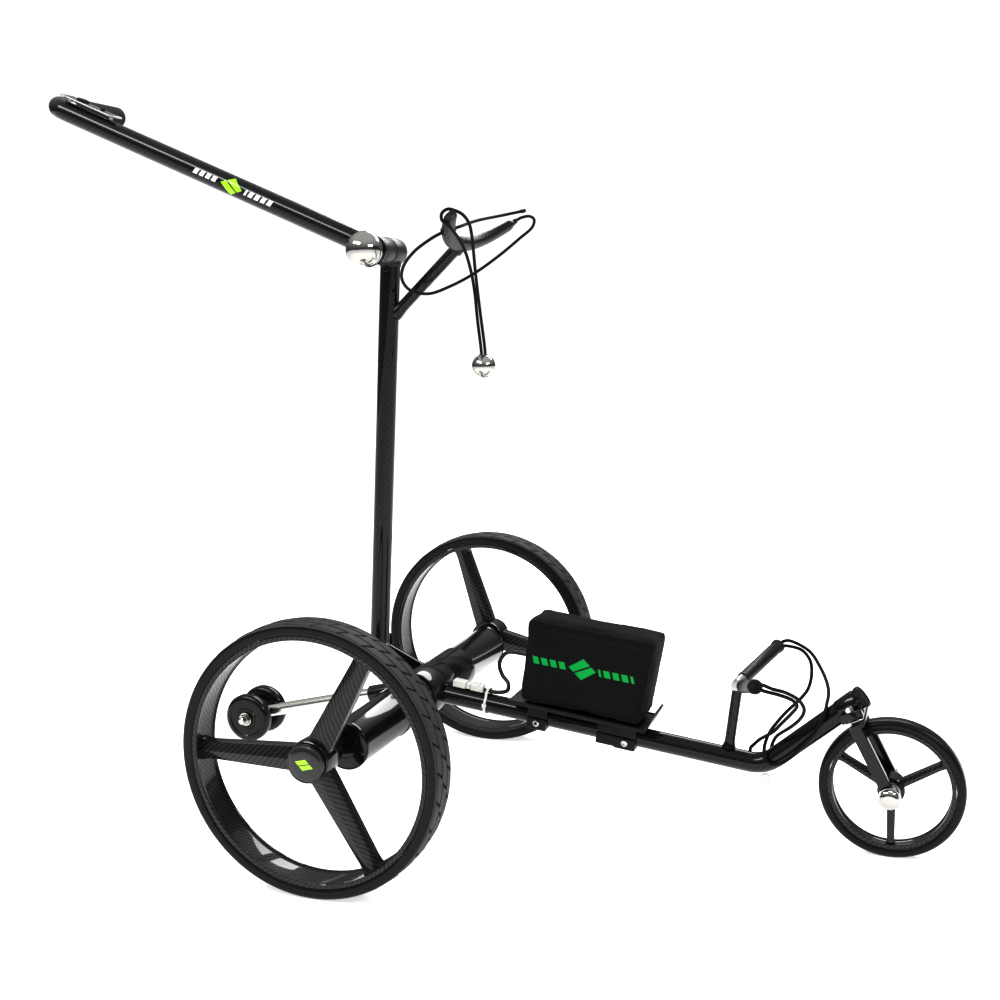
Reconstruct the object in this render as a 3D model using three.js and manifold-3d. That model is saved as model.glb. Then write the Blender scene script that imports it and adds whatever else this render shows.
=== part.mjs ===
// A folding three-wheel motor golf trolley: two driven wheels on a tubular axle, a low main tube that carries the
// battery bag and ends in a fork with a small front wheel, and a mast that holds the bag cradle and the handle.
// Millimetres, +X to the front wheel, +Y to the left, +Z up. Sizes are first laid out from the floor under the
// rear axle, and the whole trolley is then moved so that its origin is the middle of its footprint.
import * as THREE from "three";
import { mergeVertices } from "three/addons/utils/BufferGeometryUtils.js";
import Module from "manifold-3d";

const wasm = await Module();
wasm.setup();

const GAP = 0.3; // clearance between pieces that touch
const TRACK = 550; // between the middles of the two rear wheels
const REAR = { tyre: 152.5, rim: 139, inside: 134, width: 41, hub: 19, boss: 24 };
const FRONT = { x: 581, tyre: 80.3, rim: 69.5, inside: 64.7, width: 21.4, hub: 11, boss: 15 };
const AXLE = { x: 12, z: 150, outer: 27, inner: 24, half: 219, sleeve: 28.5 };
const TUBE_R = 12; // main tube and mast
const TUBE_WALL = 2;
const MAIN_SLOPE = 7.9; // degrees the main tube falls towards the front
const MAIN_CORNER = [439, 0, 92.7];
const MAIN_END = [545, 0, 181];
const MAIN_BEND = 40;
const MAST_LEAN = 4.13; // degrees forward of upright
const HINGE = [-12.4, 0, 697]; // handle hinge, on the mast's line
const KNUCKLE = { r: 16.2, mast: 14.5, gripSide: -48.5 };
const HANDLE = { rise: 24, y: -31.7, r: 12.5, length: 501, bend: 28, end: 108, grip: 14 };
const KNOB = { r: 21.6, y: -73.5 };
const PIVOT_DROP = 506.4; // from the handle hinge down the mast to its fold pivot
const CRADLE = { out: 104, reach: 42, r: 7.6, post: 7, postRise: 42.6, mastZ: 613, length: 132.5 };
const LOW = { foot: [396, 0, 98.6], apex: [405, 0, 184.5], tip: [446, 101, 215.5], rod: 6.2, sleeve: 7.4, post: 6 };
const DECK = { bagRear: 132.5, bagFront: 288, bagLean: 7, bagHalf: 32, bagBottom: 21.4, bagTop: 128.5, tray: 19 };
const FORK = { lean: 26.5, half: 30, blade: 9, wide: 13.5, crown: 82.8 };
const TIP_WHEEL = { x: -232.5, z: 100.4, r: 31.5, wide: 17, half: 20.5, tube: 8 };
const CORD_R = 1.8;
const ELASTIC_R = 2;
const LEAD_R = 2.5;
const GRIP_X = HINGE[0] - HANDLE.length * Math.cos(THREE.MathUtils.degToRad(HANDLE.rise));
const CENTRE_X = (FRONT.x + FRONT.tyre + GRIP_X - HANDLE.grip) / 2;

const finishes = {
  carbon: { color: 0x17181a, roughness: 0.28, metalness: 0.1 },
  gloss: { color: 0x0b0b0d, roughness: 0.2, metalness: 0.1 },
  plastic: { color: 0x141416, roughness: 0.55, metalness: 0 },
  rubber: { color: 0x1b1b1d, roughness: 0.8, metalness: 0 },
  tyre: { color: 0x16171a, roughness: 0.6, metalness: 0 },
  steel: { color: 0xd8d6d0, roughness: 0.15, metalness: 1 },
  satin: { color: 0xc4c6c8, roughness: 0.35, metalness: 1 },
  fabric: { color: 0x0d0d0e, roughness: 0.95, metalness: 0 },
  cord: { color: 0x0e0e10, roughness: 0.85, metalness: 0 },
  white: { color: 0xe8e6df, roughness: 0.4, metalness: 0 },
  motor: { color: 0x8d9094, roughness: 0.4, metalness: 1 },
};

const radians = THREE.MathUtils.degToRad;
const vector = (p) => (p.isVector3 ? p : new THREE.Vector3(...p));

// A closed geometry as a solid, with its faces turned outwards.
function solid(shape) {
  if (!shape.isBufferGeometry) return shape;
  const flat = shape.index ? shape.toNonIndexed() : shape;
  const bare = new THREE.BufferGeometry().setAttribute("position", flat.getAttribute("position").clone());
  const merged = mergeVertices(bare, 1e-4);
  const index = merged.index.array;
  const triangles = [];
  const corner = (i) => new THREE.Vector3().fromBufferAttribute(merged.attributes.position, i);
  let volume = 0;
  for (let i = 0; i < index.length; i += 3) {
    const [a, b, c] = index.subarray(i, i + 3);
    if (a === b || b === c || c === a) continue;
    triangles.push(a, b, c);
    volume += corner(a).dot(corner(b).cross(corner(c)));
  }
  if (volume < 0) triangles.reverse();
  const vertProperties = merged.attributes.position.array;
  return new wasm.Manifold(new wasm.Mesh({ numProp: 3, vertProperties, triVerts: new Uint32Array(triangles) }));
}

function join(...shapes) {
  return shapes.map(solid).reduce((all, next) => all.add(next));
}

function cut(body, ...tools) {
  return tools.map(solid).reduce((left, tool) => left.subtract(tool), solid(body));
}

function surface(body) {
  const { vertProperties, triVerts } = solid(body).getMesh();
  const geometry = new THREE.BufferGeometry();
  geometry.setAttribute("position", new THREE.BufferAttribute(vertProperties, 3));
  geometry.setIndex(new THREE.BufferAttribute(triVerts, 1));
  geometry.computeVertexNormals();
  return geometry;
}

function piece(name, body, finish) {
  const mesh = new THREE.Mesh(surface(body), new THREE.MeshStandardMaterial(finishes[finish]));
  mesh.name = name;
  return mesh;
}

// A round bar between two points.
function bar(from, to, r, sides = 20, farR = r) {
  const start = vector(from);
  const along = vector(to).clone().sub(start);
  const shape = new THREE.CylinderGeometry(farR, r, along.length(), sides);
  shape.translate(0, along.length() / 2, 0);
  shape.applyQuaternion(new THREE.Quaternion().setFromUnitVectors(new THREE.Vector3(0, 1, 0), along.normalize()));
  return shape.translate(start.x, start.y, start.z);
}

// A round bar across the trolley, from y0 to y1.
const across = (x, z, y0, y1, r, sides = 24) => bar([x, y0, z], [x, y1, z], r, sides);

function block(size, at) {
  return new THREE.BoxGeometry(...size).translate(...at);
}

// A body of revolution about Y from its [radius, y] outline.
function turned(outline, sides = 32) {
  const points = outline.map(([r, y]) => new THREE.Vector2(r, y));
  return new THREE.LatheGeometry(points, sides);
}

function ring(outline, sides = 32) {
  return turned([...outline, outline[0]], sides);
}

// A path through given points that is sampled only at those points.
class Route extends THREE.Curve {
  constructor(points) {
    super();
    this.points = points.map(vector);
  }
  getPoint(t, target = new THREE.Vector3()) {
    const place = t * (this.points.length - 1);
    const i = Math.min(Math.floor(place + 1e-9), this.points.length - 2);
    return target.lerpVectors(this.points[i], this.points[i + 1], place - i);
  }
  getPointAt(u, target) {
    return this.getPoint(u, target);
  }
  getTangentAt(u, target = new THREE.Vector3()) {
    const last = this.points.length - 1;
    const i = Math.round(u * last);
    return target.subVectors(this.points[Math.min(i + 1, last)], this.points[Math.max(i - 1, 0)]).normalize();
  }
}

const circle = (r, sides) =>
  Array.from({ length: sides }, (_, i) => {
    const turn = (2 * Math.PI * i) / sides;
    return new THREE.Vector2(r * Math.cos(turn), r * Math.sin(turn));
  });

// A round tube through points, with a bore where it is hollow.
function swept(points, r, sides = 14, bore = 0) {
  const section = new THREE.Shape(circle(r, sides));
  if (bore) section.holes.push(new THREE.Path(circle(bore, sides)));
  const extrudePath = new Route(points);
  return new THREE.ExtrudeGeometry(section, { steps: points.length - 1, extrudePath, bevelEnabled: false });
}

// The corner between two legs rounded to a radius, as points on the arc.
function rounded(before, corner, after, radius, steps = 8) {
  const [a, b, c] = [vector(before), vector(corner), vector(after)];
  const u = a.clone().sub(b).normalize();
  const v = c.clone().sub(b).normalize();
  const half = u.angleTo(v) / 2;
  const middle = u.clone().add(v).normalize().multiplyScalar(radius / Math.sin(half)).add(b);
  const start = u.multiplyScalar(radius / Math.tan(half)).add(b).sub(middle);
  const end = v.multiplyScalar(radius / Math.tan(half)).add(b).sub(middle);
  const axis = start.clone().cross(end).normalize();
  const turn = start.angleTo(end);
  return Array.from({ length: steps + 1 }, (_, i) =>
    start.clone().applyAxisAngle(axis, (turn * i) / steps).add(middle),
  );
}

// A smooth cord through hand-set points, with even steps.
function cord(points, r, steps, sides = 8) {
  const smooth = new THREE.CatmullRomCurve3(points.map(vector), false, "centripetal");
  return swept(smooth.getSpacedPoints(steps), r, sides);
}

// A flat plate across the trolley whose outline is a belt round two circles.
function belt(from, r1, to, r2, y0, y1, sides = 12) {
  const along = new THREE.Vector2(to[0] - from[0], to[1] - from[1]);
  const tangent = Math.acos((r1 - r2) / along.length());
  const heading = along.angle();
  const arc = ([x, z], r, start, end) =>
    Array.from({ length: sides + 1 }, (_, i) => {
      const turn = heading + start + ((end - start) * i) / sides;
      return new THREE.Vector2(x + r * Math.cos(turn), z + r * Math.sin(turn));
    });
  const outline = [...arc(from, r1, tangent, 2 * Math.PI - tangent), ...arc(to, r2, -tangent, tangent)];
  const plate = new THREE.ExtrudeGeometry(new THREE.Shape(outline), { depth: y1 - y0, bevelEnabled: false });
  return plate.rotateX(Math.PI / 2).translate(0, y1, 0);
}

const mainAlong = new THREE.Vector3(Math.cos(radians(MAIN_SLOPE)), 0, -Math.sin(radians(MAIN_SLOPE)));
const mainRoot = new THREE.Vector3(AXLE.x, 0, 152);
const mastAlong = new THREE.Vector3(Math.sin(radians(MAST_LEAN)), 0, Math.cos(radians(MAST_LEAN)));
const hinge = vector(HINGE);
const onMast = (down) => hinge.clone().addScaledVector(mastAlong, -down);
const pivot = onMast(PIVOT_DROP);

const trolley = new THREE.Group();
trolley.position.x = -CENTRE_X;

// Rear axle: a tube that holds both gear motors, closed by end caps
const axleWall = [
  [AXLE.inner, -AXLE.half],
  [AXLE.outer, -AXLE.half],
  [AXLE.outer, -105],
  [AXLE.sleeve, -105],
  [AXLE.sleeve, -38],
  [AXLE.outer, -38],
  [AXLE.outer, 38],
  [AXLE.sleeve, 38],
  [AXLE.sleeve, 105],
  [AXLE.outer, 105],
  [AXLE.outer, AXLE.half],
  [AXLE.inner, AXLE.half],
];
const axle = new THREE.Group();
axle.position.set(AXLE.x, 0, AXLE.z);
axle.add(piece("axle_housing", ring(axleWall), "gloss"));

for (const [side, name] of [
  [-1, "right"],
  [1, "left"],
]) {
  const cap = turned(
    [
      [0, 209],
      [23.7, 209],
      [23.7, AXLE.half + GAP],
      [27.5, AXLE.half + GAP],
      [27.5, 223.5],
      [25, 226],
      [0, 226],
    ].map(([r, y]) => [r, side * y]),
  );
  const shaftHole = across(-AXLE.x, 152.5 - AXLE.z, side * 200, side * 240, 8.4, 24);
  axle.add(piece(`${name}_axle_cap`, cut(cap, shaftHole), "gloss"));
  const motor = join(across(0, 0, side * 72, side * 165, 21), across(0, 0, side * 165, side * 205, 23));
  axle.add(piece(`${name}_gear_motor`, motor, "motor"));
}
trolley.add(axle);

// Axle bracket: a collar round the housing with two cheeks for the mast, a spigot for the main tube and a socket
const tipAlong = new THREE.Vector3(AXLE.x - TIP_WHEEL.x, 0, 156 - TIP_WHEEL.z).normalize();
const tipPoint = (distance) => new THREE.Vector3(TIP_WHEEL.x, 0, TIP_WHEEL.z).addScaledVector(tipAlong, distance);
const CHEEK_IN = 12.6;
const CHEEK_OUT = 18.6;
const cheek = (side) =>
  belt(
    [-2, 170],
    12,
    [pivot.x, pivot.z],
    13,
    Math.min(side * CHEEK_IN, side * CHEEK_OUT),
    Math.max(side * CHEEK_IN, side * CHEEK_OUT),
  );
const bracket = cut(
  join(
    across(AXLE.x, AXLE.z, -34, 34, 31),
    cheek(-1),
    cheek(1),
    bar(mainRoot.clone().addScaledVector(mainAlong, 26), mainRoot.clone().addScaledVector(mainAlong, 60), 9.7),
    bar(tipPoint(174), tipPoint(225), 11),
  ),
  across(AXLE.x, AXLE.z, -40, 40, AXLE.outer + GAP),
  across(pivot.x, pivot.z, -30, 30, 6 + GAP, 24),
  bar(tipPoint(170), tipPoint(218), TIP_WHEEL.tube + GAP),
);
trolley.add(piece("axle_bracket", bracket, "carbon"));

// Main tube, bent up at the front, with its end plug
const mainStart = mainRoot.clone().addScaledVector(mainAlong, 24);
const mainPath = [mainStart, ...rounded(mainStart, MAIN_CORNER, MAIN_END, MAIN_BEND), vector(MAIN_END)];
const collarRoom = across(AXLE.x, AXLE.z, -40, 40, 31 + GAP);
trolley.add(piece("main_tube", cut(swept(mainPath, TUBE_R, 20, TUBE_R - TUBE_WALL), collarRoom), "carbon"));
const noseAlong = vector(MAIN_END).sub(vector(MAIN_CORNER)).normalize();
const nose = (distance) => vector(MAIN_END).addScaledVector(noseAlong, distance);
const plug = join(bar(nose(GAP), nose(6), TUBE_R + 1), bar(nose(-16), nose(2), TUBE_R - TUBE_WALL - GAP));
trolley.add(piece("main_tube_plug", plug, "plastic"));

// Battery deck: tray, clamps and bag, square to the main tube
const deck = new THREE.Group();
deck.position.copy(mainRoot);
deck.rotation.y = radians(MAIN_SLOPE);
const tray = join(
  block([172, 66, 3], [207, 0, DECK.tray]),
  block([3, 66, 19], [0, 0, 9.5]).rotateY(radians(22)).translate(291, 0, DECK.tray - 1.5),
);
deck.add(piece("battery_tray", tray, "plastic"));
const tubeRoom = bar([100, 0, 0], [320, 0, 0], TUBE_R + GAP);
const clamp = (x) => join(block([25, 32, 31.7], [x, 0, 1.35]), bar([x, -15, -6], [x, -18.2, -6], 4.2, 12));
deck.add(piece("rear_tray_clamp", cut(clamp(155.5), tubeRoom), "plastic"));
const stepped = join(clamp(267), block([24, 28, 25.5], [243, 0, -1.25]));
deck.add(piece("front_tray_clamp", cut(stepped, tubeRoom), "plastic"));

const bagLength = DECK.bagFront - DECK.bagRear;
const bagHeight = DECK.bagTop - DECK.bagBottom;
const bagMiddle = [(DECK.bagFront + DECK.bagRear) / 2, 0, (DECK.bagTop + DECK.bagBottom) / 2];
const BAG_EDGE = 7;
const bagSide = new THREE.Shape(
  [
    [-1, -1],
    [1, -1],
    [1, 1],
    [-1, 1],
  ].flatMap(([x, z], i) => {
    const lean = x > 0 && z > 0 ? DECK.bagLean : 0;
    const centre = [x * (bagLength / 2 - BAG_EDGE) + lean, z * (bagHeight / 2 - BAG_EDGE)];
    return [0, 45, 90].map((turn) => {
      const heading = radians(180 + 90 * i + turn);
      return new THREE.Vector2(
        centre[0] + BAG_EDGE * Math.cos(heading),
        centre[1] + BAG_EDGE * Math.sin(heading),
      );
    });
  }),
);
const bagShell = new THREE.ExtrudeGeometry(bagSide, {
  depth: 2 * DECK.bagHalf - 8,
  bevelSize: 4,
  bevelOffset: -4,
  bevelThickness: 4,
  bevelSegments: 2,
})
  .rotateX(Math.PI / 2)
  .translate(bagMiddle[0], DECK.bagHalf - 4, bagMiddle[2]);
const leadIn = [DECK.bagRear, 20, 66];
const bagBody = cut(
  bagShell,
  block([bagLength - 10, 2 * DECK.bagHalf - 10, bagHeight - 10], bagMiddle),
  bar([DECK.bagRear - 8, 20, 66], [DECK.bagRear + 10, 20, 66], LEAD_R + 1.2, 12),
);
deck.add(piece("battery_bag", bagBody, "fabric"));
const packSize = [bagLength - 18, 2 * DECK.bagHalf - 14, bagHeight - 14];
deck.add(piece("battery_pack", block(packSize, [bagMiddle[0] + 2, 0, bagMiddle[2]]), "plastic"));
trolley.add(deck);

// Battery lead: along the main tube, then a loop up into the back of the bag
const bagEntry = vector(leadIn).applyAxisAngle(new THREE.Vector3(0, 1, 0), radians(MAIN_SLOPE)).add(mainRoot);
const overTube = (x, lift) => [x, 0, mainRoot.z - (x - AXLE.x) * Math.tan(radians(MAIN_SLOPE)) + lift];
const leadRoute = [
  overTube(43, 15.6),
  overTube(56, 15.6),
  overTube(72, 15.6),
  overTube(88, 15.6),
  overTube(100, 15.8),
  overTube(112, 16.6),
  [122, 4, 156.5],
  [121, 11, 164],
  [112, 16, 172],
  [107, 19, 184],
  [111, 20, 195],
  [119, 20, 201],
  [bagEntry.x - 10, 20, bagEntry.z + 0.8],
  [bagEntry.x - 0.5, 20, bagEntry.z],
];
trolley.add(piece("battery_lead", cord(leadRoute, LEAD_R, 40), "plastic"));
const tubeRoomWorld = bar(mainStart, mainRoot.clone().addScaledVector(mainAlong, 200), TUBE_R + GAP);
const plugBlock = block([40, 13, 9.4], [0, 0, 1.6]).rotateY(radians(MAIN_SLOPE)).translate(...overTube(71, 15.6));
trolley.add(piece("lead_connector", cut(plugBlock, cord(leadRoute, LEAD_R + GAP, 40), tubeRoomWorld), "white"));
const TIE_X = 98;
const tieRing = cut(
  belt([0, 0], TUBE_R + 1.6, [0, 15.6], LEAD_R + 2.2, -1.8, 1.8),
  belt([0, 0], TUBE_R + GAP, [0, 15.6], LEAD_R + 0.7, -3, 3),
);
const tie = surface(tieRing).rotateZ(Math.PI / 2).rotateY(radians(MAIN_SLOPE));
const tieAt = mainRoot.clone().addScaledVector(mainAlong, TIE_X - AXLE.x);
trolley.add(piece("cable_tie", tie.translate(tieAt.x, 0, tieAt.z), "white"));

// Lower cradle: a post on the main tube, a bent bright rod and a rubber sleeve on each arm
const apex = vector(LOW.apex);
const lowPost = cut(
  join(
    bar(LOW.foot, [407, 0, 178.2], LOW.post, 20),
    bar([396.6, 0, 104], [398.2, 0, 115.5], LOW.post + 3, 20, LOW.post),
  ),
  bar(mainStart, [421, 0, 95.2], TUBE_R + GAP),
);
trolley.add(piece("lower_post", lowPost, "carbon"));
const arm = (side) => new THREE.Vector3(LOW.tip[0], side * LOW.tip[1], LOW.tip[2]).sub(apex).normalize();
const armPoint = (side, distance) => apex.clone().addScaledVector(arm(side), distance);
const cradleRod = [armPoint(-1, 98), ...rounded(armPoint(-1, 98), LOW.apex, armPoint(1, 98), 14), armPoint(1, 98)];
trolley.add(piece("lower_cradle_rod", swept(cradleRod, LOW.rod, 14), "satin"));
for (const [side, name, start] of [
  [-1, "right", 42],
  [1, "left", 18],
]) {
  const sleeve = cut(
    join(bar(armPoint(side, start), armPoint(side, 103), LOW.sleeve), bar(armPoint(side, 97), armPoint(side, 103), 8.4)),
    bar(armPoint(side, start - 6), armPoint(side, 98 + GAP), LOW.rod + GAP),
  );
  trolley.add(piece(`lower_${name}_sleeve`, sleeve, "rubber"));
}
const rightElastic = [
  [445.5, -94.5, 216.2],
  [452, -98.5, 217],
  [461, -98, 213.6],
  [473.9, -90, 208.3],
  [486.1, -74, 196.2],
  [490.3, -56, 179.8],
  [483.9, -40, 163.9],
  [471, -24, 148.1],
  [459.8, -10, 136.7],
  [452, 3, 127],
  [447, 12, 117],
  [443, 17, 105],
  [438, 17.5, 94],
  [430, 17, 89.5],
  [422, 16.5, 94],
  [420, 15.5, 105],
  [426, 9, 114],
  [434, 2, 123],
  [441, -6, 129.5],
  [450.9, -14, 138.2],
  [461.9, -26, 152.8],
  [475, -42, 170.5],
  [483, -60, 185.2],
  [479.2, -76, 196.2],
  [468.6, -90, 204.7],
  [452, -96, 210],
  [446.2, -94.3, 211.4],
];
trolley.add(piece("right_elastic_loop", cord(rightElastic, ELASTIC_R, 54), "cord"));
const leftElastic = [
  [445.5, 94.5, 216.2],
  [452, 99, 217.3],
  [462, 99.5, 214.5],
  [479.7, 88, 207.9],
  [493.9, 66, 196.3],
  [504.2, 42, 185.5],
  [508.6, 22, 177.6],
  [508.5, 4, 170.8],
  [508, -10.5, 165],
  [504, -15.8, 153.5],
  [496, -15.5, 139.9],
  [485, -15.6, 126.3],
  [472.1, -15.4, 111.3],
  [460.9, -15.4, 102.5],
  [449.6, -15.5, 99.5],
  [441.6, -15.5, 105.5],
  [440, -10.5, 113],
  [440, -4, 119.3],
  [443.7, 10, 129.9],
  [451.3, 24, 139.3],
  [459, 38, 146.8],
  [472.2, 56, 157.7],
  [480.2, 70, 167.6],
  [482.6, 82, 182.9],
  [479.3, 92, 196.5],
  [468.7, 97, 207],
  [452, 96, 211.2],
  [446.2, 94.3, 211.4],
];
trolley.add(piece("left_elastic_loop", cord(leftElastic, ELASTIC_R, 56), "cord"));
const hook = cut(across(440, 77, -1.8, 1.8, 6, 20), across(440, 77, -3, 3, 3.4, 16));
trolley.add(piece("cord_hook", hook, "white"));

// Fork: a coped block under the tube, a bright plate with two trim screws, and the fork that turns on them
const forkUp = new THREE.Vector3(-Math.sin(radians(FORK.lean)), 0, Math.cos(radians(FORK.lean)));
const head = new THREE.Group();
head.position.set(FRONT.x, 0, FRONT.tyre);
head.rotation.y = -radians(FORK.lean);
const screwAt = (side, z0, z1, r, sides = 20) => bar([0, side * 18.6, z0], [0, side * 18.6, z1], r, sides);
const noseLocal = (distance) =>
  nose(distance)
    .sub(head.position)
    .applyAxisAngle(new THREE.Vector3(0, 1, 0), radians(FORK.lean));
const noseRoom = bar(noseLocal(-80), noseLocal(20), TUBE_R + GAP);
const trimPlate = join(
  cut(block([20, 47, 2], [0, 0, 88.8]), noseRoom),
  screwAt(-1, 88.8, 105, 4),
  screwAt(1, 88.8, 105, 4),
  screwAt(-1, 100.8, 106.3, 5.4),
  screwAt(1, 100.8, 106.3, 5.4),
);
const headBlock = cut(
  block([26, 48, 10.4], [-1, 0, 95.3]),
  noseRoom,
  screwAt(-1, 80, 120, 4 + GAP),
  screwAt(1, 80, 120, 4 + GAP),
);
head.add(piece("fork_head_block", headBlock, "plastic"));
head.add(piece("trim_plate", trimPlate, "steel"));
const blade = (side) =>
  join(
    block([FORK.wide, FORK.blade, FORK.crown + 4.5], [0, side * FORK.half, (FORK.crown + 4.5) / 2]),
    bar([0, side * (FORK.half - FORK.blade / 2), 0], [0, side * (FORK.half + FORK.blade / 2), 0], FORK.wide / 2, 24),
  );
const forkBody = cut(
  join(
    blade(-1),
    blade(1),
    block([16, 2 * FORK.half + FORK.blade, 4.4], [3, 0, FORK.crown + 2.3]),
  ),
  bar([0, -50, 0], [0, 50, 0], 5 + GAP, 20),
);
head.add(piece("front_fork", forkBody, "carbon"));
const bolt = join(
  bar([0, -40, 0], [0, 42, 0], 5, 20),
  bar([0, -46, 0], [0, -39, 0], 11, 24, 10.4),
  bar([0, -39, 0], [0, -FORK.half - FORK.blade / 2 - GAP, 0], 12.4, 24),
  bar([0, FORK.half + FORK.blade / 2 + GAP, 0], [0, 42, 0], 8.5, 6),
);
head.add(piece("front_axle_bolt", bolt, "steel"));
trolley.add(head);

// Wheels: tyre, spoked rim and hub, built about Y, with the spokes at a turn from +X towards +Z
const WHEEL_SIDES = 40;
function wheel(size, spoke, firstTurn) {
  const half = size.width / 2;
  const tyre = ring([
    [size.rim + GAP, -half],
    [size.tyre - 4, -half],
    [size.tyre - 0.7, -half * 0.8],
    [size.tyre, -half * 0.5],
    [size.tyre, half * 0.5],
    [size.tyre - 0.7, half * 0.8],
    [size.tyre - 4, half],
    [size.rim + GAP, half],
  ], WHEEL_SIDES);
  const hoop = ring([
    [size.inside, -half + 1],
    [size.rim, -half + 1],
    [size.rim, half - 1],
    [size.inside, half - 1],
    [size.inside + 1.6, half - 4],
    [size.inside + 1.6, -half + 4],
  ], WHEEL_SIDES);
  const reach = size.inside + 1.5;
  const spokes = [0, 120, 240].map((turn) => {
    const inner = size.hub + 2;
    const shape = new THREE.CylinderGeometry(
      spoke.rim / Math.sqrt(3),
      spoke.hub / Math.sqrt(3),
      reach - inner,
      6,
      1,
      false,
      Math.PI / 6,
    );
    shape.rotateZ(-Math.PI / 2).translate((reach + inner) / 2, 0, 0);
    return shape.scale(1, (spoke.deep * Math.sqrt(3)) / (spoke.rim + spoke.hub), 1).rotateY(-radians(firstTurn + turn));
  });
  const boss = turned([
    [0, -spoke.boss],
    [size.boss, -spoke.boss],
    [size.boss, spoke.boss],
    [0, spoke.boss],
  ], 32);
  const bore = bar([0, -60, 0], [0, 60, 0], size.hub + GAP, 32);
  return { tyre, rim: cut(join(hoop, boss, ...spokes), bore) };
}

const rearSpoke = { hub: 29, rim: 21, deep: 20, boss: 15 };
for (const [side, name, turn] of [
  [-1, "right", 60],
  [1, "left", 107],
]) {
  const set = new THREE.Group();
  set.position.set(0, (side * TRACK) / 2, REAR.tyre);
  const { tyre, rim } = wheel(REAR, rearSpoke, turn);
  set.add(piece(`${name}_tyre`, tyre, "tyre"));
  set.add(piece(`${name}_rim`, rim, "carbon"));
  const hub = join(bar([0, side * -32, 0], [0, side * 16, 0], REAR.hub, 32), bar([0, side * -68, 0], [0, 0, 0], 8));
  set.add(piece(`${name}_drive_hub`, hub, "satin"));
  const hubCap = turned([
    [0, 16 + GAP],
    [21.5, 16 + GAP],
    [21.5, 20],
    [19.5, 22.4],
    [0, 23],
  ].map(([r, y]) => [r, side * y]), 40);
  set.add(piece(`${name}_hub_cap`, hubCap, "gloss"));
  trolley.add(set);
}

const frontWheel = new THREE.Group();
frontWheel.position.set(FRONT.x, 0, FRONT.tyre);
const small = wheel(FRONT, { hub: 9.5, rim: 8, deep: 12, boss: 12 }, 30);
frontWheel.add(piece("front_tyre", small.tyre, "tyre"));
frontWheel.add(piece("front_rim", small.rim, "carbon"));
const frontHub = cut(bar([0, -25, 0], [0, 25, 0], FRONT.hub, 24), bar([0, -30, 0], [0, 30, 0], 5 + GAP, 20));
frontWheel.add(piece("front_hub", frontHub, "satin"));
trolley.add(frontWheel);

// Anti-tip wheels on a bright tube that plugs into the bracket
const tipBore = across(TIP_WHEEL.x, TIP_WHEEL.z, -40, 40, 5 + GAP, 20);
const tipArm = cut(
  join(
    bar(tipPoint(6.5), tipPoint(214), TIP_WHEEL.tube, 20),
    across(TIP_WHEEL.x, TIP_WHEEL.z, -11, 11, 10, 24),
  ),
  tipBore,
);
trolley.add(piece("anti_tip_arm", tipArm, "steel"));
for (const [side, name] of [
  [-1, "right"],
  [1, "left"],
]) {
  const half = TIP_WHEEL.wide / 2;
  const roller = cut(
    ring([
      [5 + GAP, -half],
      [TIP_WHEEL.r - 11, -half],
      [TIP_WHEEL.r, -half + 4],
      [TIP_WHEEL.r, half - 4],
      [TIP_WHEEL.r - 11, half],
      [5 + GAP, half],
    ], 32),
  );
  const mesh = piece(`anti_tip_${name}_wheel`, roller, "plastic");
  mesh.position.set(TIP_WHEEL.x, side * TIP_WHEEL.half, TIP_WHEEL.z);
  trolley.add(mesh);
}
const tipEnd = TIP_WHEEL.half + TIP_WHEEL.wide / 2 + GAP;
const tipBolt = join(
  across(TIP_WHEEL.x, TIP_WHEEL.z, -40.5, 35, 4.7, 20),
  across(TIP_WHEEL.x, TIP_WHEEL.z, -36, -tipEnd, 9, 6),
  across(TIP_WHEEL.x, TIP_WHEEL.z, tipEnd, 35, 8, 6),
);
trolley.add(piece("anti_tip_bolt", tipBolt, "steel"));

// Mast: foot on the fold pivot, tube, knuckle for the handle, upper post and cradle
const foot = cut(
  join(
    bar(onMast(PIVOT_DROP - 6), onMast(PIVOT_DROP - 18), TUBE_R),
    bar(onMast(PIVOT_DROP - 6), onMast(PIVOT_DROP - 45), TUBE_R - TUBE_WALL - GAP),
    across(pivot.x, pivot.z, -12, 12, 12),
  ),
  across(pivot.x, pivot.z, -20, 20, 6 + GAP, 24),
);
trolley.add(piece("mast_foot", foot, "satin"));
const pin = join(
  across(pivot.x, pivot.z, -22, 22, 6, 24),
  across(pivot.x, pivot.z, -22, -CHEEK_OUT - GAP, 9, 24),
);
trolley.add(piece("mast_pivot_pin", pin, "steel"));
const lever = cut(
  join(
    across(pivot.x, pivot.z, CHEEK_OUT + GAP, 28, 9.5, 24),
    belt([pivot.x, pivot.z], 7, [pivot.x + 4, pivot.z + 22], 4.5, 23, 28),
  ),
  across(pivot.x, pivot.z, 10, 22 + GAP, 6 + GAP, 24),
);
trolley.add(piece("mast_clamp_lever", lever, "plastic"));
const mastBore = bar(onMast(10), onMast(PIVOT_DROP), TUBE_R - TUBE_WALL);
trolley.add(piece("mast_tube", cut(bar(onMast(18), onMast(PIVOT_DROP - 18 - GAP), TUBE_R), mastBore), "carbon"));
const mastKnuckle = cut(
  join(
    across(hinge.x, hinge.z, -KNUCKLE.mast, KNUCKLE.mast, KNUCKLE.r),
    bar(onMast(4), onMast(18 - GAP), TUBE_R),
    bar(onMast(4), onMast(44), TUBE_R - TUBE_WALL - GAP),
  ),
  across(hinge.x, hinge.z, -20, 10, 5 + GAP, 20),
);
trolley.add(piece("mast_knuckle", mastKnuckle, "plastic"));

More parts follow.
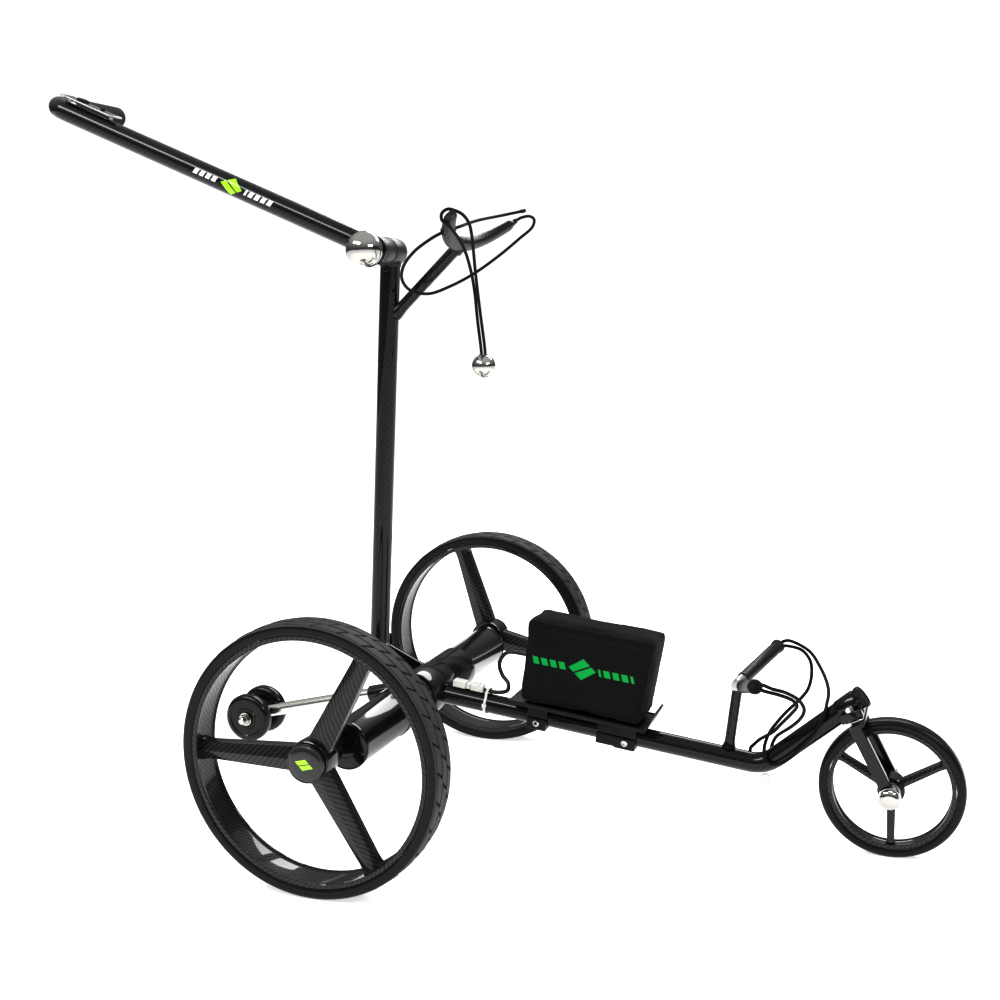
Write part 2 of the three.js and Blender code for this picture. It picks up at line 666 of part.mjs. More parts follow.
const postAlong = new THREE.Vector3(Math.cos(radians(CRADLE.postRise)), 0, Math.sin(radians(CRADLE.postRise)));
const postRoot = onMast((hinge.z - CRADLE.mastZ) / mastAlong.z);
const postPoint = (distance) => postRoot.clone().addScaledVector(postAlong, distance);
const upperPost = cut(
  join(bar(postPoint(5), postPoint(CRADLE.length - CRADLE.r - GAP - 0.2), CRADLE.post), bar(postPoint(5), postPoint(24), 9, 24, 7)),
  bar(onMast(10), onMast(200), TUBE_R + GAP),
);
trolley.add(piece("upper_post", upperPost, "carbon"));
const cradlePoint = (y) =>
  postPoint(CRADLE.length + CRADLE.reach * (Math.abs(y) / CRADLE.out) ** 2.2).setY(y);
const cradlePath = Array.from({ length: 25 }, (_, i) => cradlePoint(CRADLE.out * (i / 12 - 1)));
const tieHole = bar([104, -55, 720.7], [80, -88, 707.8], CORD_R + 1.2, 12);
trolley.add(piece("upper_cradle", cut(swept(cradlePath, CRADLE.r, 14), tieHole), "rubber"));
const upperCord = [
  [112, 107.2, 734],
  [118, 110.5, 737.5],
  [128, 112, 739],
  [137, 105, 734],
  [137, 96, 724],
  [125, 84, 711],
  [106, 60, 690],
  [83, 30, 668],
  [61, 4, 653],
  [44, -22, 645],
  [30, -44, 650],
  [27, -58, 662],
  [36, -72, 677],
  [54, -82, 692],
  [72, -86, 702.5],
  [83, -83, 709],
  [93, -71.5, 714.8],
  [99.5, -58, 718.6],
  [98, -20, 725],
  [97, 20, 731],
  [104, 85, 740],
  [124, 110, 746],
];
trolley.add(piece("upper_cord", cord(upperCord, CORD_R, 56), "cord"));
const BALL = [112.2, -22, 558.6];
const BALL_R = 14;
const armEnd = cradlePoint(-97);
const armRun = cradlePoint(-98).sub(cradlePoint(-96)).normalize();
const wrap = (turn) =>
  new THREE.Vector3(postAlong.z, 0, -postAlong.x)
    .multiplyScalar(CRADLE.r + CORD_R + 1)
    .applyAxisAngle(armRun, radians(turn))
    .add(armEnd);
const ballCord = [
  [BALL[0] - 2.3, BALL[1], BALL[2] + BALL_R + 0.6],
  [109.6, -22.5, 580],
  [107.6, -26, 612],
  [107, -32, 647],
  [108, -46, 672],
  [108, -68, 697],
  ...[-55, -105, -155, -205, -255].map(wrap),
  [116.5, -87, 730],
  [120.5, -79, 721],
  [120, -70, 709],
  [117, -58, 692],
  [112.8, -42, 666],
  [112.8, -31, 624],
  [114.4, -22.5, 580],
  [BALL[0] + 2.3, BALL[1], BALL[2] + BALL_R + 0.6],
];
trolley.add(piece("ball_cord", cord(ballCord, CORD_R, 60), "cord"));
const ball = join(
  new THREE.SphereGeometry(BALL_R, 18, 12).translate(...BALL),
  bar([BALL[0], BALL[1], BALL[2] + 10], [BALL[0], BALL[1], BALL[2] + BALL_R + GAP], 5, 16),
);
trolley.add(piece("cord_ball", ball, "steel"));

// Handle: square to the hinge, running back along -X, with its grip turned to the left
const handle = new THREE.Group();
handle.position.copy(hinge);
handle.rotation.y = radians(HANDLE.rise);
const elbow = [-HANDLE.length, HANDLE.y, 0];
const handleRoot = [-KNUCKLE.r - 2 * GAP, HANDLE.y, 0];
const handleEnd = [-HANDLE.length, HANDLE.end, 0];
const handlePath = [vector(handleRoot), ...rounded(handleRoot, elbow, handleEnd, HANDLE.bend), vector(handleEnd)];
handle.add(piece("handle_tube", swept(handlePath, HANDLE.r, 20, HANDLE.r - TUBE_WALL), "carbon"));
const handleKnuckle = cut(
  join(
    across(0, 0, KNUCKLE.gripSide, -KNUCKLE.mast - 1.6, KNUCKLE.r),
    across(0, 0, -16.2, -KNUCKLE.mast - GAP, KNUCKLE.r + 0.6),
    bar([-8, HANDLE.y, 0], [-44, HANDLE.y, 0], HANDLE.r - TUBE_WALL - GAP),
  ),
  across(0, 0, -60, 0, 5 + GAP, 20),
);
handle.add(piece("handle_knuckle", handleKnuckle, "plastic"));
const washer = cut(across(0, 0, -51.4, KNUCKLE.gripSide - GAP, 17.4), across(0, 0, -60, 0, 5 + GAP, 20));
handle.add(piece("hinge_washer", washer, "gloss"));
const grip = turned([
  [HANDLE.r + GAP, 8],
  [HANDLE.grip - 0.4, 8],
  [HANDLE.grip, 60],
  [HANDLE.grip, 108],
  [HANDLE.grip - 3, 113],
  [0, 113.5],
  [0, HANDLE.end + GAP],
  [HANDLE.r + GAP, HANDLE.end + GAP],
  [HANDLE.r + GAP, 8],
], 32).translate(-HANDLE.length, 0, 0);
handle.add(piece("hand_grip", grip, "rubber"));
const PLATE_Z = 18.6;
const post = (x) => bar([x, HANDLE.y, HANDLE.r + GAP], [x, HANDLE.y, PLATE_Z], 3, 12);
const plate = cut(
  join(block([80, 26, 2.4], [-440, HANDLE.y, PLATE_Z]), post(-408), post(-475)),
  bar([-455, HANDLE.y + 2, 14], [-455, HANDLE.y + 2, 24], 2 + GAP, 12),
  bar([-422, HANDLE.y, 14], [-422, HANDLE.y, 24], 2.4 + GAP, 12),
);
handle.add(piece("control_plate", plate, "satin"));
const dialZ = PLATE_Z + 1.2 + GAP;
const dial = join(
  bar([-455, HANDLE.y + 2, dialZ], [-455, HANDLE.y + 2, dialZ + 2.6], 8, 24),
  bar([-455, HANDLE.y + 2, 15], [-455, HANDLE.y + 2, dialZ + 1], 2, 12),
);
handle.add(piece("speed_dial", dial, "plastic"));
const button = join(
  bar([-422, HANDLE.y, dialZ + 1.2], [-422, HANDLE.y, dialZ + 2.8], 4.5),
  bar([-422, HANDLE.y, 16.2], [-422, HANDLE.y, dialZ + 2], 2.4, 12),
);
handle.add(piece("power_button", button, "white"));
const knob = join(
  new THREE.SphereGeometry(KNOB.r, 24, 14).translate(0, KNOB.y, 0),
  across(0, 0, KNOB.y + 15, 9, 5, 20),
);
handle.add(piece("ball_knob", knob, "steel"));
trolley.add(handle);

export default trolley;
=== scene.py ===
import bpy
import math
import numpy as np
from mathutils import Matrix, Vector
from mathutils.bvhtree import BVHTree


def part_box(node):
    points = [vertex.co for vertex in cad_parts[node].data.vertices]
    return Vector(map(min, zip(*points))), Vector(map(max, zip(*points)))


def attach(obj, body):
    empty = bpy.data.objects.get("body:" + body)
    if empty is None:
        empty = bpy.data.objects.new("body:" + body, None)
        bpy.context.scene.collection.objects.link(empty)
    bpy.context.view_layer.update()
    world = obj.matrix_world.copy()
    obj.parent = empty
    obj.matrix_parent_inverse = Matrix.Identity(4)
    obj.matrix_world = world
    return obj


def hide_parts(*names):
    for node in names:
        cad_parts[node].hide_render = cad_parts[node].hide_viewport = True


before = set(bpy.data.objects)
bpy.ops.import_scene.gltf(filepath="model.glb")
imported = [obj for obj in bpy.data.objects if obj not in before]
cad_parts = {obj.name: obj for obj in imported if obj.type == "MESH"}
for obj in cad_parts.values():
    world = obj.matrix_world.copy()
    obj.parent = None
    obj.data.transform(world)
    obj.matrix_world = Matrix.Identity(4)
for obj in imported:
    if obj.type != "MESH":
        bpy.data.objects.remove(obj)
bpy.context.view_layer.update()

# Sizes below are millimetres from the floor under the rear axle: +X to the front wheel, +Y left, +Z up
mm = 0.001
axleX = sum(corner.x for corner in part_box("right_tyre")) / 2


def place(points):
    # layout millimetres to metres in the model's frame
    return np.asarray(points, float) * mm + (axleX, 0, 0)


def unit(v):
    return np.asarray(v, float) / np.linalg.norm(v)


def turned(points, degrees, origin):
    # points of a group that is turned about Y and then moved to its origin
    p = np.atleast_2d(np.asarray(points, float))
    c, s = math.cos(math.radians(degrees)), math.sin(math.radians(degrees))
    x, y, z = p.T
    return np.stack([x * c + z * s, y, -x * s + z * c], -1) + origin


hinge = np.array([-12.4, 0, 697])
mastUp = unit([math.sin(math.radians(4.13)), 0, math.cos(math.radians(4.13))])
pivotDrop = 506.4
pivot = hinge - pivotDrop * mastUp
mainRoot = np.array([12.0, 0, 152])
mainDown = 7.9
handleRise = 24
handleY = -31.7
forkHub = np.array([581.0, 0, 80.3])


def onMast(down):
    return hinge - down * mastUp


def onHandle(points):
    return turned(points, handleRise, hinge)


def onDeck(points):
    return turned(points, mainDown, mainRoot)


def onFork(points):
    return turned(points, -26.5, forkHub)


# camera
camera = {"place": (656.8, -1476.5, 623.2), "yaw": 0.348482, "pitch": -0.143635, "roll": -0.025809,
          "lens": 47.16}


def makeCamera():
    yaw, pitch, roll = camera["yaw"], camera["pitch"], camera["roll"]
    look = Vector((-math.sin(yaw) * math.cos(pitch), math.cos(yaw) * math.cos(pitch), math.sin(pitch)))
    level = Vector((math.cos(yaw), math.sin(yaw), 0))
    above = level.cross(look)
    right = math.cos(roll) * level + math.sin(roll) * above
    up = -math.sin(roll) * level + math.cos(roll) * above
    data = bpy.data.cameras.new("camera")
    data.lens, data.sensor_width = camera["lens"], 36
    data.clip_end = 60
    obj = bpy.data.objects.new("camera", data)
    turn = Matrix((right, up, -look)).transposed().to_4x4()
    obj.matrix_world = Matrix.Translation(Vector(place(camera["place"]))) @ turn
    bpy.context.scene.collection.objects.link(obj)
    bpy.context.scene.camera = obj


makeCamera()
print("camera placed")


# grids of points become one mesh per piece

class Shell:
    # a mesh gathered from grids: each grid is a surface of two parameters, u down its rows and v along them
    def __init__(self):
        self.points, self.faces, self.uvs, self.count = [], [], [], 0

    def grid(self, g, wrap=True, caps=True, ring=False, cell=3.0, flip=None):
        # g is (rows, columns, 3) in layout millimetres; wrap joins the last column to the first,
        # ring the last row
        # to the first, and caps closes the first and last rows; uv counts weave cells along and around
        rows, cols = g.shape[:2]
        far = np.linalg.norm(np.diff(g, axis=0, append=g[:1]), axis=-1).mean(1)
        wide = np.linalg.norm(np.diff(g, axis=1, append=g[:, :1]), axis=-1).mean(0)
        u = np.concatenate([[0], np.cumsum(far)]) / cell
        v = np.concatenate([[0], np.cumsum(wide)]) / cell
        if wrap:
            v *= max(4, 4 * round(v[-1] / 4)) / v[-1]
        if ring:
            u *= max(4, 4 * round(u[-1] / 4)) / u[-1]
        i = np.arange(rows if ring else rows - 1)
        j = np.arange(cols if wrap else cols - 1)
        i, j = np.meshgrid(i, j, indexing="ij")
        a, b = i * cols + j, i * cols + (j + 1) % cols
        c, d = (i + 1) % rows * cols + (j + 1) % cols, (i + 1) % rows * cols + j
        quads = np.stack([a, b, c, d], -1).reshape(-1, 4)
        uv = np.stack([u[[i, i, i + 1, i + 1]], v[[j, j + 1, j + 1, j]]], -1)
        uv = np.moveaxis(uv, 0, 2).reshape(-1, 4, 2)
        p = g.reshape(-1, 3)
        if flip is None:
            q = p[quads] - p.mean(0)
            volume = np.einsum("ij,ij->i", q[:, 0],
                               np.cross(q[:, 1], q[:, 2]) + np.cross(q[:, 2], q[:, 3])).sum()
            flip = volume < 0
        if flip:
            quads, uv = quads[:, ::-1], uv[:, ::-1]
        self.faces += (quads + self.count).tolist()
        self.uvs += uv.reshape(-1, 2).tolist()
        if caps and wrap and not ring:
            ends = [list(range(cols))[::-1], list(range((rows - 1) * cols, rows * cols))]
            for k, end in enumerate(ends):
                end = end[::-1] if flip else end
                centre, e = p[end].mean(0), p[end] - p[end].mean(0)
                across = unit(e[0])
                over = unit(np.cross(np.cross(e[0], e[len(e) // 4]), across))
                self.faces.append([n + self.count for n in end])
                self.uvs += (np.stack([e @ across, e @ over], -1) / cell).tolist()
        self.points.append(p)
        self.count += len(p)
        return self

    def build(self, name, body, finish, replaces=(), sharp=32):
        mesh = bpy.data.meshes.new(name)
        mesh.from_pydata(place(np.concatenate(self.points)).tolist(), [], self.faces)
        layer = mesh.uv_layers.new(name="cells")
        layer.data.foreach_set("uv", np.asarray(self.uvs, np.float32).ravel())
        mesh.polygons.foreach_set("use_smooth", [True] * len(mesh.polygons))
        mesh.set_sharp_from_angle(angle=math.radians(sharp))
        mesh.materials.append(finish)
        mesh.update()
        obj = bpy.data.objects.new(name, mesh)
        bpy.context.scene.collection.objects.link(obj)
        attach(obj, body)
        if replaces:
            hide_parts(*replaces)
        return obj


def lathe(start, direction, profile, sides=48):
    # the profile's [distance, radius] pairs carried round the axis from start: centre + distance * axis
    # + radius * (cos a * side + sin a * over)
    axis = unit(direction)
    side = unit(np.cross(axis, [0, 0, 1] if abs(axis[2]) < 0.9 else [1, 0, 0]))
    over = np.cross(axis, side)
    a = np.linspace(0, 2 * math.pi, sides, endpoint=False)
    far, r = np.asarray(profile, float).T
    circle = np.cos(a)[:, None] * side + np.sin(a)[:, None] * over
    return np.asarray(start, float) + far[:, None, None] * axis + r[:, None, None] * circle[None]


def rounded(points, radius, steps=10):
    # a polyline with each inner corner replaced by an arc that touches both legs
    p = np.asarray(points, float)
    radii = np.broadcast_to(radius, len(p) - 2)
    out = [p[:1]]
    for a, b, c, r in zip(p[:-2], p[1:-1], p[2:], radii):
        u, v = unit(a - b), unit(c - b)
        half = math.acos(np.clip(u @ v, -1, 1)) / 2
        middle = b + unit(u + v) * r / math.sin(half)
        s = b + u * r / math.tan(half) - middle
        e = b + v * r / math.tan(half) - middle
        turn = math.pi - 2 * half
        t = np.linspace(0, 1, steps + 1)[:, None]
        out.append(middle + (np.sin((1 - t) * turn) * s + np.sin(t * turn) * e) / math.sin(turn))
    out.append(p[-1:])
    return np.concatenate(out)


def evenly(points, step):
    # the same polyline with stations about one step apart, measured along it
    p = np.asarray(points, float)
    s = np.concatenate([[0], np.cumsum(np.linalg.norm(np.diff(p, axis=0), axis=1))])
    t = np.linspace(0, s[-1], max(2, round(s[-1] / step)) + 1)
    return np.stack([np.interp(t, s, p[:, k]) for k in range(3)], -1)


def smooth(points, steps=12):
    # centripetal Catmull-Rom: each span blends its four neighbours with knots at the root of their
    # distances
    p = np.asarray(points, float)
    p = np.concatenate([[2 * p[0] - p[1]], p, [2 * p[-1] - p[-2]]])
    k = np.concatenate([[0], np.cumsum(np.linalg.norm(np.diff(p, axis=0), axis=1) ** 0.5)])
    a, b, c, d = (p[n:len(p) - 3 + n][:, None] for n in range(4))
    ka, kb, kc, kd = (k[n:len(k) - 3 + n][:, None, None] for n in range(4))
    t = kb + (kc - kb) * np.linspace(0, 1, steps, endpoint=False)[None, :, None]

    def mix(u, v, ku, kv):
        return ((kv - t) * u + (t - ku) * v) / (kv - ku)

    ab, bc, cd = mix(a, b, ka, kb), mix(b, c, kb, kc), mix(c, d, kc, kd)
    whole = mix(mix(ab, bc, ka, kc), mix(bc, cd, kb, kd), kb, kc)
    return np.concatenate([whole.reshape(-1, 3), p[-2:-1]])


def sweep(path, section, grow=None, first=None):
    # the section's (across, over) points carried along the path on axes that turn as little as they can:
    # station + grow * (across * side + over * up)
    p = np.asarray(path, float)
    along = np.gradient(p, axis=0)
    along /= np.linalg.norm(along, axis=1)[:, None]
    side = np.array(first, float) if first is not None else np.cross(along[0], [0.13, 0.31, 1])
    sides = []
    for t in along:
        side = unit(side - (side @ t) * t)
        sides.append(side)
    sides = np.array(sides)
    ups = np.cross(along, sides)
    section = np.asarray(section, float)
    if section.ndim == 2:
        section = np.broadcast_to(section, (len(p), *section.shape))
    size = np.ones(len(p)) if grow is None else np.asarray(grow)
    a, b = section[..., 0] * size[:, None], section[..., 1] * size[:, None]
    return p[:, None] + a[..., None] * sides[:, None] + b[..., None] * ups[:, None]


def roundSection(r, sides=28, wide=1.0):
    a = np.linspace(0, 2 * math.pi, sides, endpoint=False)
    return np.stack([r * wide * np.cos(a), r * np.sin(a)], -1)


def boxSection(width, height, corner, steps=4):
    # a rectangle with quarter circles at its corners
    corner = max(corner, 0.02)
    a = np.linspace(0, math.pi / 2, steps + 1)
    x, y = width / 2 - corner, height / 2 - corner
    quarter = [np.stack([cx * x + corner * np.cos(a + t), cy * y + corner * np.sin(a + t)], -1)
               for cx, cy, t in ((1, 1, 0), (-1, 1, math.pi / 2), (-1, -1, math.pi),
                                 (1, -1, 1.5 * math.pi))]
    return np.concatenate(quarter)


def polygonSection(corners, corner, steps=3):
    # a polygon whose corners are rounded, as one closed outline
    c = np.asarray(corners, float)
    c3 = np.concatenate([c, np.zeros((len(c), 1))], 1)
    n = len(c)
    arcs = [rounded([c3[k - 1], c3[k], c3[(k + 1) % n]], corner, steps)[1:-1] for k in range(n)]
    return np.concatenate(arcs)[:, :2]


def slab(start, end, width, height, corner, first, edge=None):
    # a bar of rounded rectangular section whose two ends are rounded over too: near each end the section
    # draws in by edge * (1 - cos a) while it advances by edge * (1 - sin a)
    start, end = np.asarray(start, float), np.asarray(end, float)
    edge = corner if edge is None else edge
    a = np.linspace(0, math.pi / 2, 4)
    inset = np.concatenate([edge * (1 - np.sin(a)), edge * (1 - np.sin(a[::-1]))])
    far = np.linalg.norm(end - start)
    along = np.concatenate([edge * (1 - np.cos(a)), far - edge * (1 - np.cos(a[::-1]))])
    sections = np.stack([boxSection(width - 2 * d, height - 2 * d, max(corner - d, 0.02)) for d in inset])
    path = start + along[:, None] * unit(end - start)
    side = unit(first)
    up = np.cross(unit(end - start), side)
    return path[:, None] + sections[..., :1] * side + sections[..., 1:] * up


def chamfered(length, r, bevel=0.8, start=0.0):
    return [(start, r - bevel), (start + bevel * 0.3, r - bevel * 0.3), (start + bevel, r),
            (start + length - bevel, r), (start + length - bevel * 0.3, r - bevel * 0.3),
            (start + length, r - bevel)]


def domed(r, steps=20):
    a = np.linspace(0.06, math.pi - 0.06, steps)
    return np.stack([-r * np.cos(a), r * np.sin(a)], -1)


# procedural finishes

class Num:
    # a number socket: a sum written on it adds the Math nodes
    def __init__(self, finish, socket):
        self.finish, self.socket = finish, socket

    def maths(self, operation, a, b=0.0):
        return self.finish.node("ShaderNodeMath", {"operation": operation}, {0: a, 1: b})

    def __add__(self, o):
        return self.maths("ADD", self, o)

    def __radd__(self, o):
        return self.maths("ADD", o, self)

    def __sub__(self, o):
        return self.maths("SUBTRACT", self, o)

    def __rsub__(self, o):
        return self.maths("SUBTRACT", o, self)

    def __mul__(self, o):
        return self.maths("MULTIPLY", self, o)

    def __rmul__(self, o):
        return self.maths("MULTIPLY", o, self)

    def __truediv__(self, o):
        return self.maths("DIVIDE", self, o)

    def __rtruediv__(self, o):
        return self.maths("DIVIDE", o, self)

    def __pow__(self, o):
        return self.maths("POWER", self, o)

    def __mod__(self, o):
        return self.maths("FLOORED_MODULO", self, o)

    def __lt__(self, o):
        return self.maths("LESS_THAN", self, o)

    def __gt__(self, o):
        return self.maths("GREATER_THAN", self, o)

    def __abs__(self):
        return self.maths("ABSOLUTE", self)

    def floor(self):
        return self.maths("FLOOR", self)

    def fract(self):
        return self.maths("FRACT", self)

    def sine(self):
        return self.maths("SINE", self)

    def low(self, o):
        return self.maths("MINIMUM", self, o)


class Finish:
    def __init__(self, name, **fixed):
        self.material = bpy.data.materials.new(name)
        self.material.use_nodes = True
        self.tree = self.material.node_tree
        self.shader = next(n for n in self.tree.nodes if n.type == "BSDF_PRINCIPLED")
        for socket, value in fixed.items():
            self.shader.inputs[socket.replace("_", " ")].default_value = value
        self.material.diffuse_color = (*self.shader.inputs["Base Color"].default_value[:3], 1)

    def node(self, kind, settings=None, values=None, out=0):
        # one node: its settings first, a ramp's stops among them, then the values or links of its sockets
        n = self.tree.nodes.new(kind)
        for key, value in (settings or {}).items():
            if key == "stops":
                ramp = n.color_ramp.elements
                while len(ramp) < len(value):
                    ramp.new(0.5)
                for stop, (at, colour) in zip(ramp, value):
                    stop.position, stop.color = at, (*colour, 1)
            else:
                setattr(n, key, value)
        for key, value in (values or {}).items():
            if isinstance(value, Num):
                self.tree.links.new(value.socket, n.inputs[key])
            else:
                n.inputs[key].default_value = value
        return Num(self, n.outputs[out])

    def drive(self, socket, value):
        self.tree.links.new(value.socket, self.shader.inputs[socket])
        return self

    def split(self, vector):
        return [self.node("ShaderNodeSeparateXYZ", None, {0: vector}, out) for out in range(3)]

    def spot(self):
        # the surface point in the model's own frame
        return self.node("ShaderNodeTexCoord", None, None, 3)

    def cells(self):
        return self.split(self.node("ShaderNodeUVMap", {"uv_map": "cells"}))[:2]

    def noise(self, scale, detail=3.0, rough=0.5, vector=None):
        return self.node("ShaderNodeTexNoise", None, {"Vector": vector or self.spot(), "Scale": scale,
                                                      "Detail": detail, "Roughness": rough})

    def blend(self, amount, a, b):
        # two colours mixed by a number
        a, b = ((*c, 1) if isinstance(c, tuple) else c for c in (a, b))
        return self.node("ShaderNodeMix", {"data_type": "RGBA"}, {0: amount, 6: a, 7: b}, 2)

    def bump(self, height, distance, strength=1.0):
        normal = self.node("ShaderNodeBump", None,
                           {"Strength": strength, "Distance": distance * mm, "Height": height})
        return self.drive("Normal", normal)


def step(value, edge, soft):
    # 0 below the edge and 1 above it, over a soft width
    amount = value.maths("MULTIPLY_ADD", value, 1 / soft)
    amount.socket.node.inputs[2].default_value = 0.5 - edge / soft
    amount.socket.node.use_clamp = True
    return amount


def twill(f):
    # 2 x 2 twill on the uv cells: which tow is on top, and its round height across its width
    u, v = f.cells()
    warp = ((u.floor() + v.floor()) % 4) < 2
    crownU = 1 - (u.fract() * 2 - 1) ** 2
    crownV = 1 - (v.fract() * 2 - 1) ** 2
    return warp, warp * crownU + (1 - warp) * crownV


def wovenFinish(name, dark, light, rough, coat=0.8, mark=None):
    f = Finish(name, Roughness=rough, Coat_Weight=coat, Coat_Roughness=0.04, Coat_IOR=1.45,
               Specular_IOR_Level=0.12)
    warp, height = twill(f)
    cloudy = f.noise(22, 3)
    streak = f.noise(900, 2)
    # the tow on top is painted paler than the one under it, and each tow paler at its crown than at its
    # edges: painted sheen standing in for the fibres' directional shine, with random cloudy tone
    paintedSheen = (warp * 0.72 + (1 - warp) * 0.16) * (0.35 + height * 0.65) * (0.6 + cloudy * 0.8)
    colour = f.blend((paintedSheen * (0.75 + streak * 0.5)).low(1), dark, light)
    if mark:
        colour = mark(f, colour)
    f.drive("Base Color", colour)
    f.drive("Roughness", rough - warp * 0.1 + streak * 0.08)
    f.bump(height + streak * 0.15, 0.05, 0.35)
    return f.material


def plainFinish(name, colour, rough, grain=700, depth=0.04, vary=0.25, wear=0.08, **fixed):
    # moulded, painted or machined: cloudy colour, fine grain, and roughness that wanders
    f = Finish(name, Base_Color=(*colour, 1), Roughness=rough, **fixed)
    cloud = f.noise(9, 4, 0.6)
    fine = f.noise(grain, 3, 0.6)
    pale = tuple(min(1, c * (1 + vary) + 0.004) for c in colour)
    deep = tuple(c * (1 - vary) for c in colour)
    f.drive("Base Color", f.blend((cloud * 0.7 + fine * 0.3), deep, pale))
    f.drive("Roughness", rough + (cloud - 0.5) * wear * 2 + (fine - 0.5) * wear)
    f.bump(fine, depth, 0.5)
    return f.material


def lozenge(along, over, wide, tall, soft=0.06):
    # 1 inside a lozenge of half sizes wide and tall, with a slanted slit through it
    inside = 1 - step(abs(along) / wide + abs(over) / tall, 1, soft)
    slit = step(abs(along * 0.55 - over), 0.09 * tall, 0.05 * tall)
    return inside * slit


def bars(along, over, low, high, tall, slope=0.35, pitch=None):
    # a band of leaning bars between two distances, as a plain stand-in for a printed mark
    pitch = pitch or tall * 1.3
    leaned = along + over * slope
    soft = 0.3 * mm
    band = step(leaned, low, soft) * (1 - step(leaned, high, soft)) * (1 - step(abs(over), tall / 2, soft))
    return band * step((leaned / pitch).fract(), 0.3, 0.06)


lime = (0.38, 0.78, 0.03)
chromeTint = (0.56, 0.55, 0.52)


def handleMark(f, colour):
    # pale bars and a lime lozenge on the outer side of the handle tube, placed on its own axes
    x, y, z = f.split(f.spot())
    base = place(hinge)
    c, s = math.cos(math.radians(handleRise)), math.sin(math.radians(handleRise))
    back = (x - base[0]) * -c + (z - base[2]) * s
    over = (x - base[0]) * s + (z - base[2]) * c
    near = y < (handleY - 2) * mm
    pale = bars(back, over, 146 * mm, 188 * mm, 7 * mm) + bars(back, over, 228 * mm, 266 * mm, 7 * mm)
    leaf = lozenge(back - 208 * mm, over, 16 * mm, 10.5 * mm)
    colour = f.blend(near * pale.low(1), colour, (0.82, 0.82, 0.8))
    return f.blend(near * leaf, colour, lime)


def tyreFinish(name, centre, outer, edge):
    # matte crown and a smoother band down the side, told apart by the distance from the wheel's axis; the
    # grooves between the crown's blocks are painted near black as painted shade
    f = Finish(name, Specular_IOR_Level=0.3)
    x, y, z = f.split(f.spot())
    hub = place(centre)
    radius = ((x - hub[0]) ** 2 + (z - hub[2]) ** 2) ** 0.5
    crown = step(radius, edge * mm, 1.2 * mm)
    worn = (outer - 1.5) * mm - abs((y - hub[1]) / (18 * mm)) ** 2.6 * (1.1 * mm)
    grooveShadeMask = step(radius - worn, 0, 0.3 * mm) if edge < outer else crown
    fine, cloud = f.noise(1100, 3, 0.6), f.noise(14, 4, 0.6)
    side = f.blend(cloud, (0.003, 0.0033, 0.004), (0.008, 0.009, 0.011))
    top = f.blend(cloud * 0.6 + fine * 0.4, (0.03, 0.03, 0.032), (0.1, 0.102, 0.108))
    # grooves painted near black: painted shade in the recesses between the blocks
    top = f.blend(grooveShadeMask, (0.002, 0.002, 0.002), top)
    f.drive("Base Color", f.blend(crown, side, top))
    f.drive("Roughness", 0.33 + crown * 0.25 + (fine - 0.5) * 0.12 + (cloud - 0.5) * 0.1)
    f.bump(fine * (0.3 + crown * 0.7), 0.08, 0.5)
    return f.material


def braidFinish(name, colour, pale, cell=1.0):
    # two families of strands that cross on the uv cells, each one round across its width, its colour pale
    # at the crown and dark at the edges: painted highlight and painted shade
    f = Finish(name, Roughness=0.75, Specular_IOR_Level=0.2, Sheen_Weight=0.03)
    u, v = f.cells()
    a, b = ((u + v) * cell).fract(), ((u - v) * cell).fract()
    over = (((u + v) * cell).floor() + ((u - v) * cell).floor()) % 2
    height = over * (1 - (a * 2 - 1) ** 2) + (1 - over) * (1 - (b * 2 - 1) ** 2)
    fuzz = f.noise(1600, 2)
    # strands painted pale at their crowns and dark where they dip under: painted highlight and painted
    # shade
    f.drive("Base Color", f.blend(height * (0.5 + fuzz * 0.6), colour, pale))
    f.drive("Roughness", 0.85 - height * 0.2)
    f.bump(height + fuzz * 0.3, 0.25, 0.6)
    return f.material


def nylonFinish(name):
    # fine plain weave with slack creases, a stitched hem near the top edge, and a green mark on the outer
    # side; the cloth's tone follows the creases' height, darker in their hollows as painted shade, mixed
    # with random cloudy tone
    f = Finish(name, Roughness=0.9, Specular_IOR_Level=0.18, Sheen_Weight=0.05)
    x, y, z = f.split(f.spot())
    base = place(mainRoot)
    c, s = math.cos(math.radians(mainDown)), math.sin(math.radians(mainDown))
    along = (x - base[0]) * c - (z - base[2]) * s
    up = (x - base[0]) * s + (z - base[2]) * c
    thread = 0.55 * mm
    warp, weft, deep = [(d / thread * math.pi).sine() for d in (along, up, y)]
    weave = warp * weft + warp * deep * 0.5 + weft * deep * 0.5
    crease, cloud = f.noise(38, 5, 0.65), f.noise(12, 4)
    hem = (1 - step(abs(up - 116 * mm), 0.5 * mm, 0.4 * mm)) * ((along / (3 * mm)).fract() < 0.62)
    edge = (1 - step(abs(up - 118.5 * mm), 0.6 * mm, 0.5 * mm))
    near = y < -24 * mm
    mark = lozenge(along - 209 * mm, up - 78 * mm, 17 * mm, 13 * mm)
    for low, high in ((147, 190), (229, 272)):
        mark = mark + bars(along, up - 78 * mm, low * mm, high * mm, 8.5 * mm)
    # tone from the crease and cloud heights, darker in the hollows: painted shade mixed with random tone
    cloth = f.blend(cloud * 0.5 + crease * 0.5, (0.0035, 0.0035, 0.004), (0.016, 0.016, 0.018))
    cloth = f.blend(hem * 0.35, cloth, (0.05, 0.05, 0.052))
    worn = 0.75 + weave * 0.2
    f.drive("Base Color", f.blend(near * mark.low(1) * worn, cloth, (0.0, 0.5, 0.1)))
    f.drive("Roughness", 0.86 + weave * 0.05 - near * mark.low(1) * 0.3)
    f.bump(weave * 0.12 + crease * 2.2 + hem * 0.6 - edge * 0.8 + cloud * 1.2, 0.9, 0.55)
    return f.material


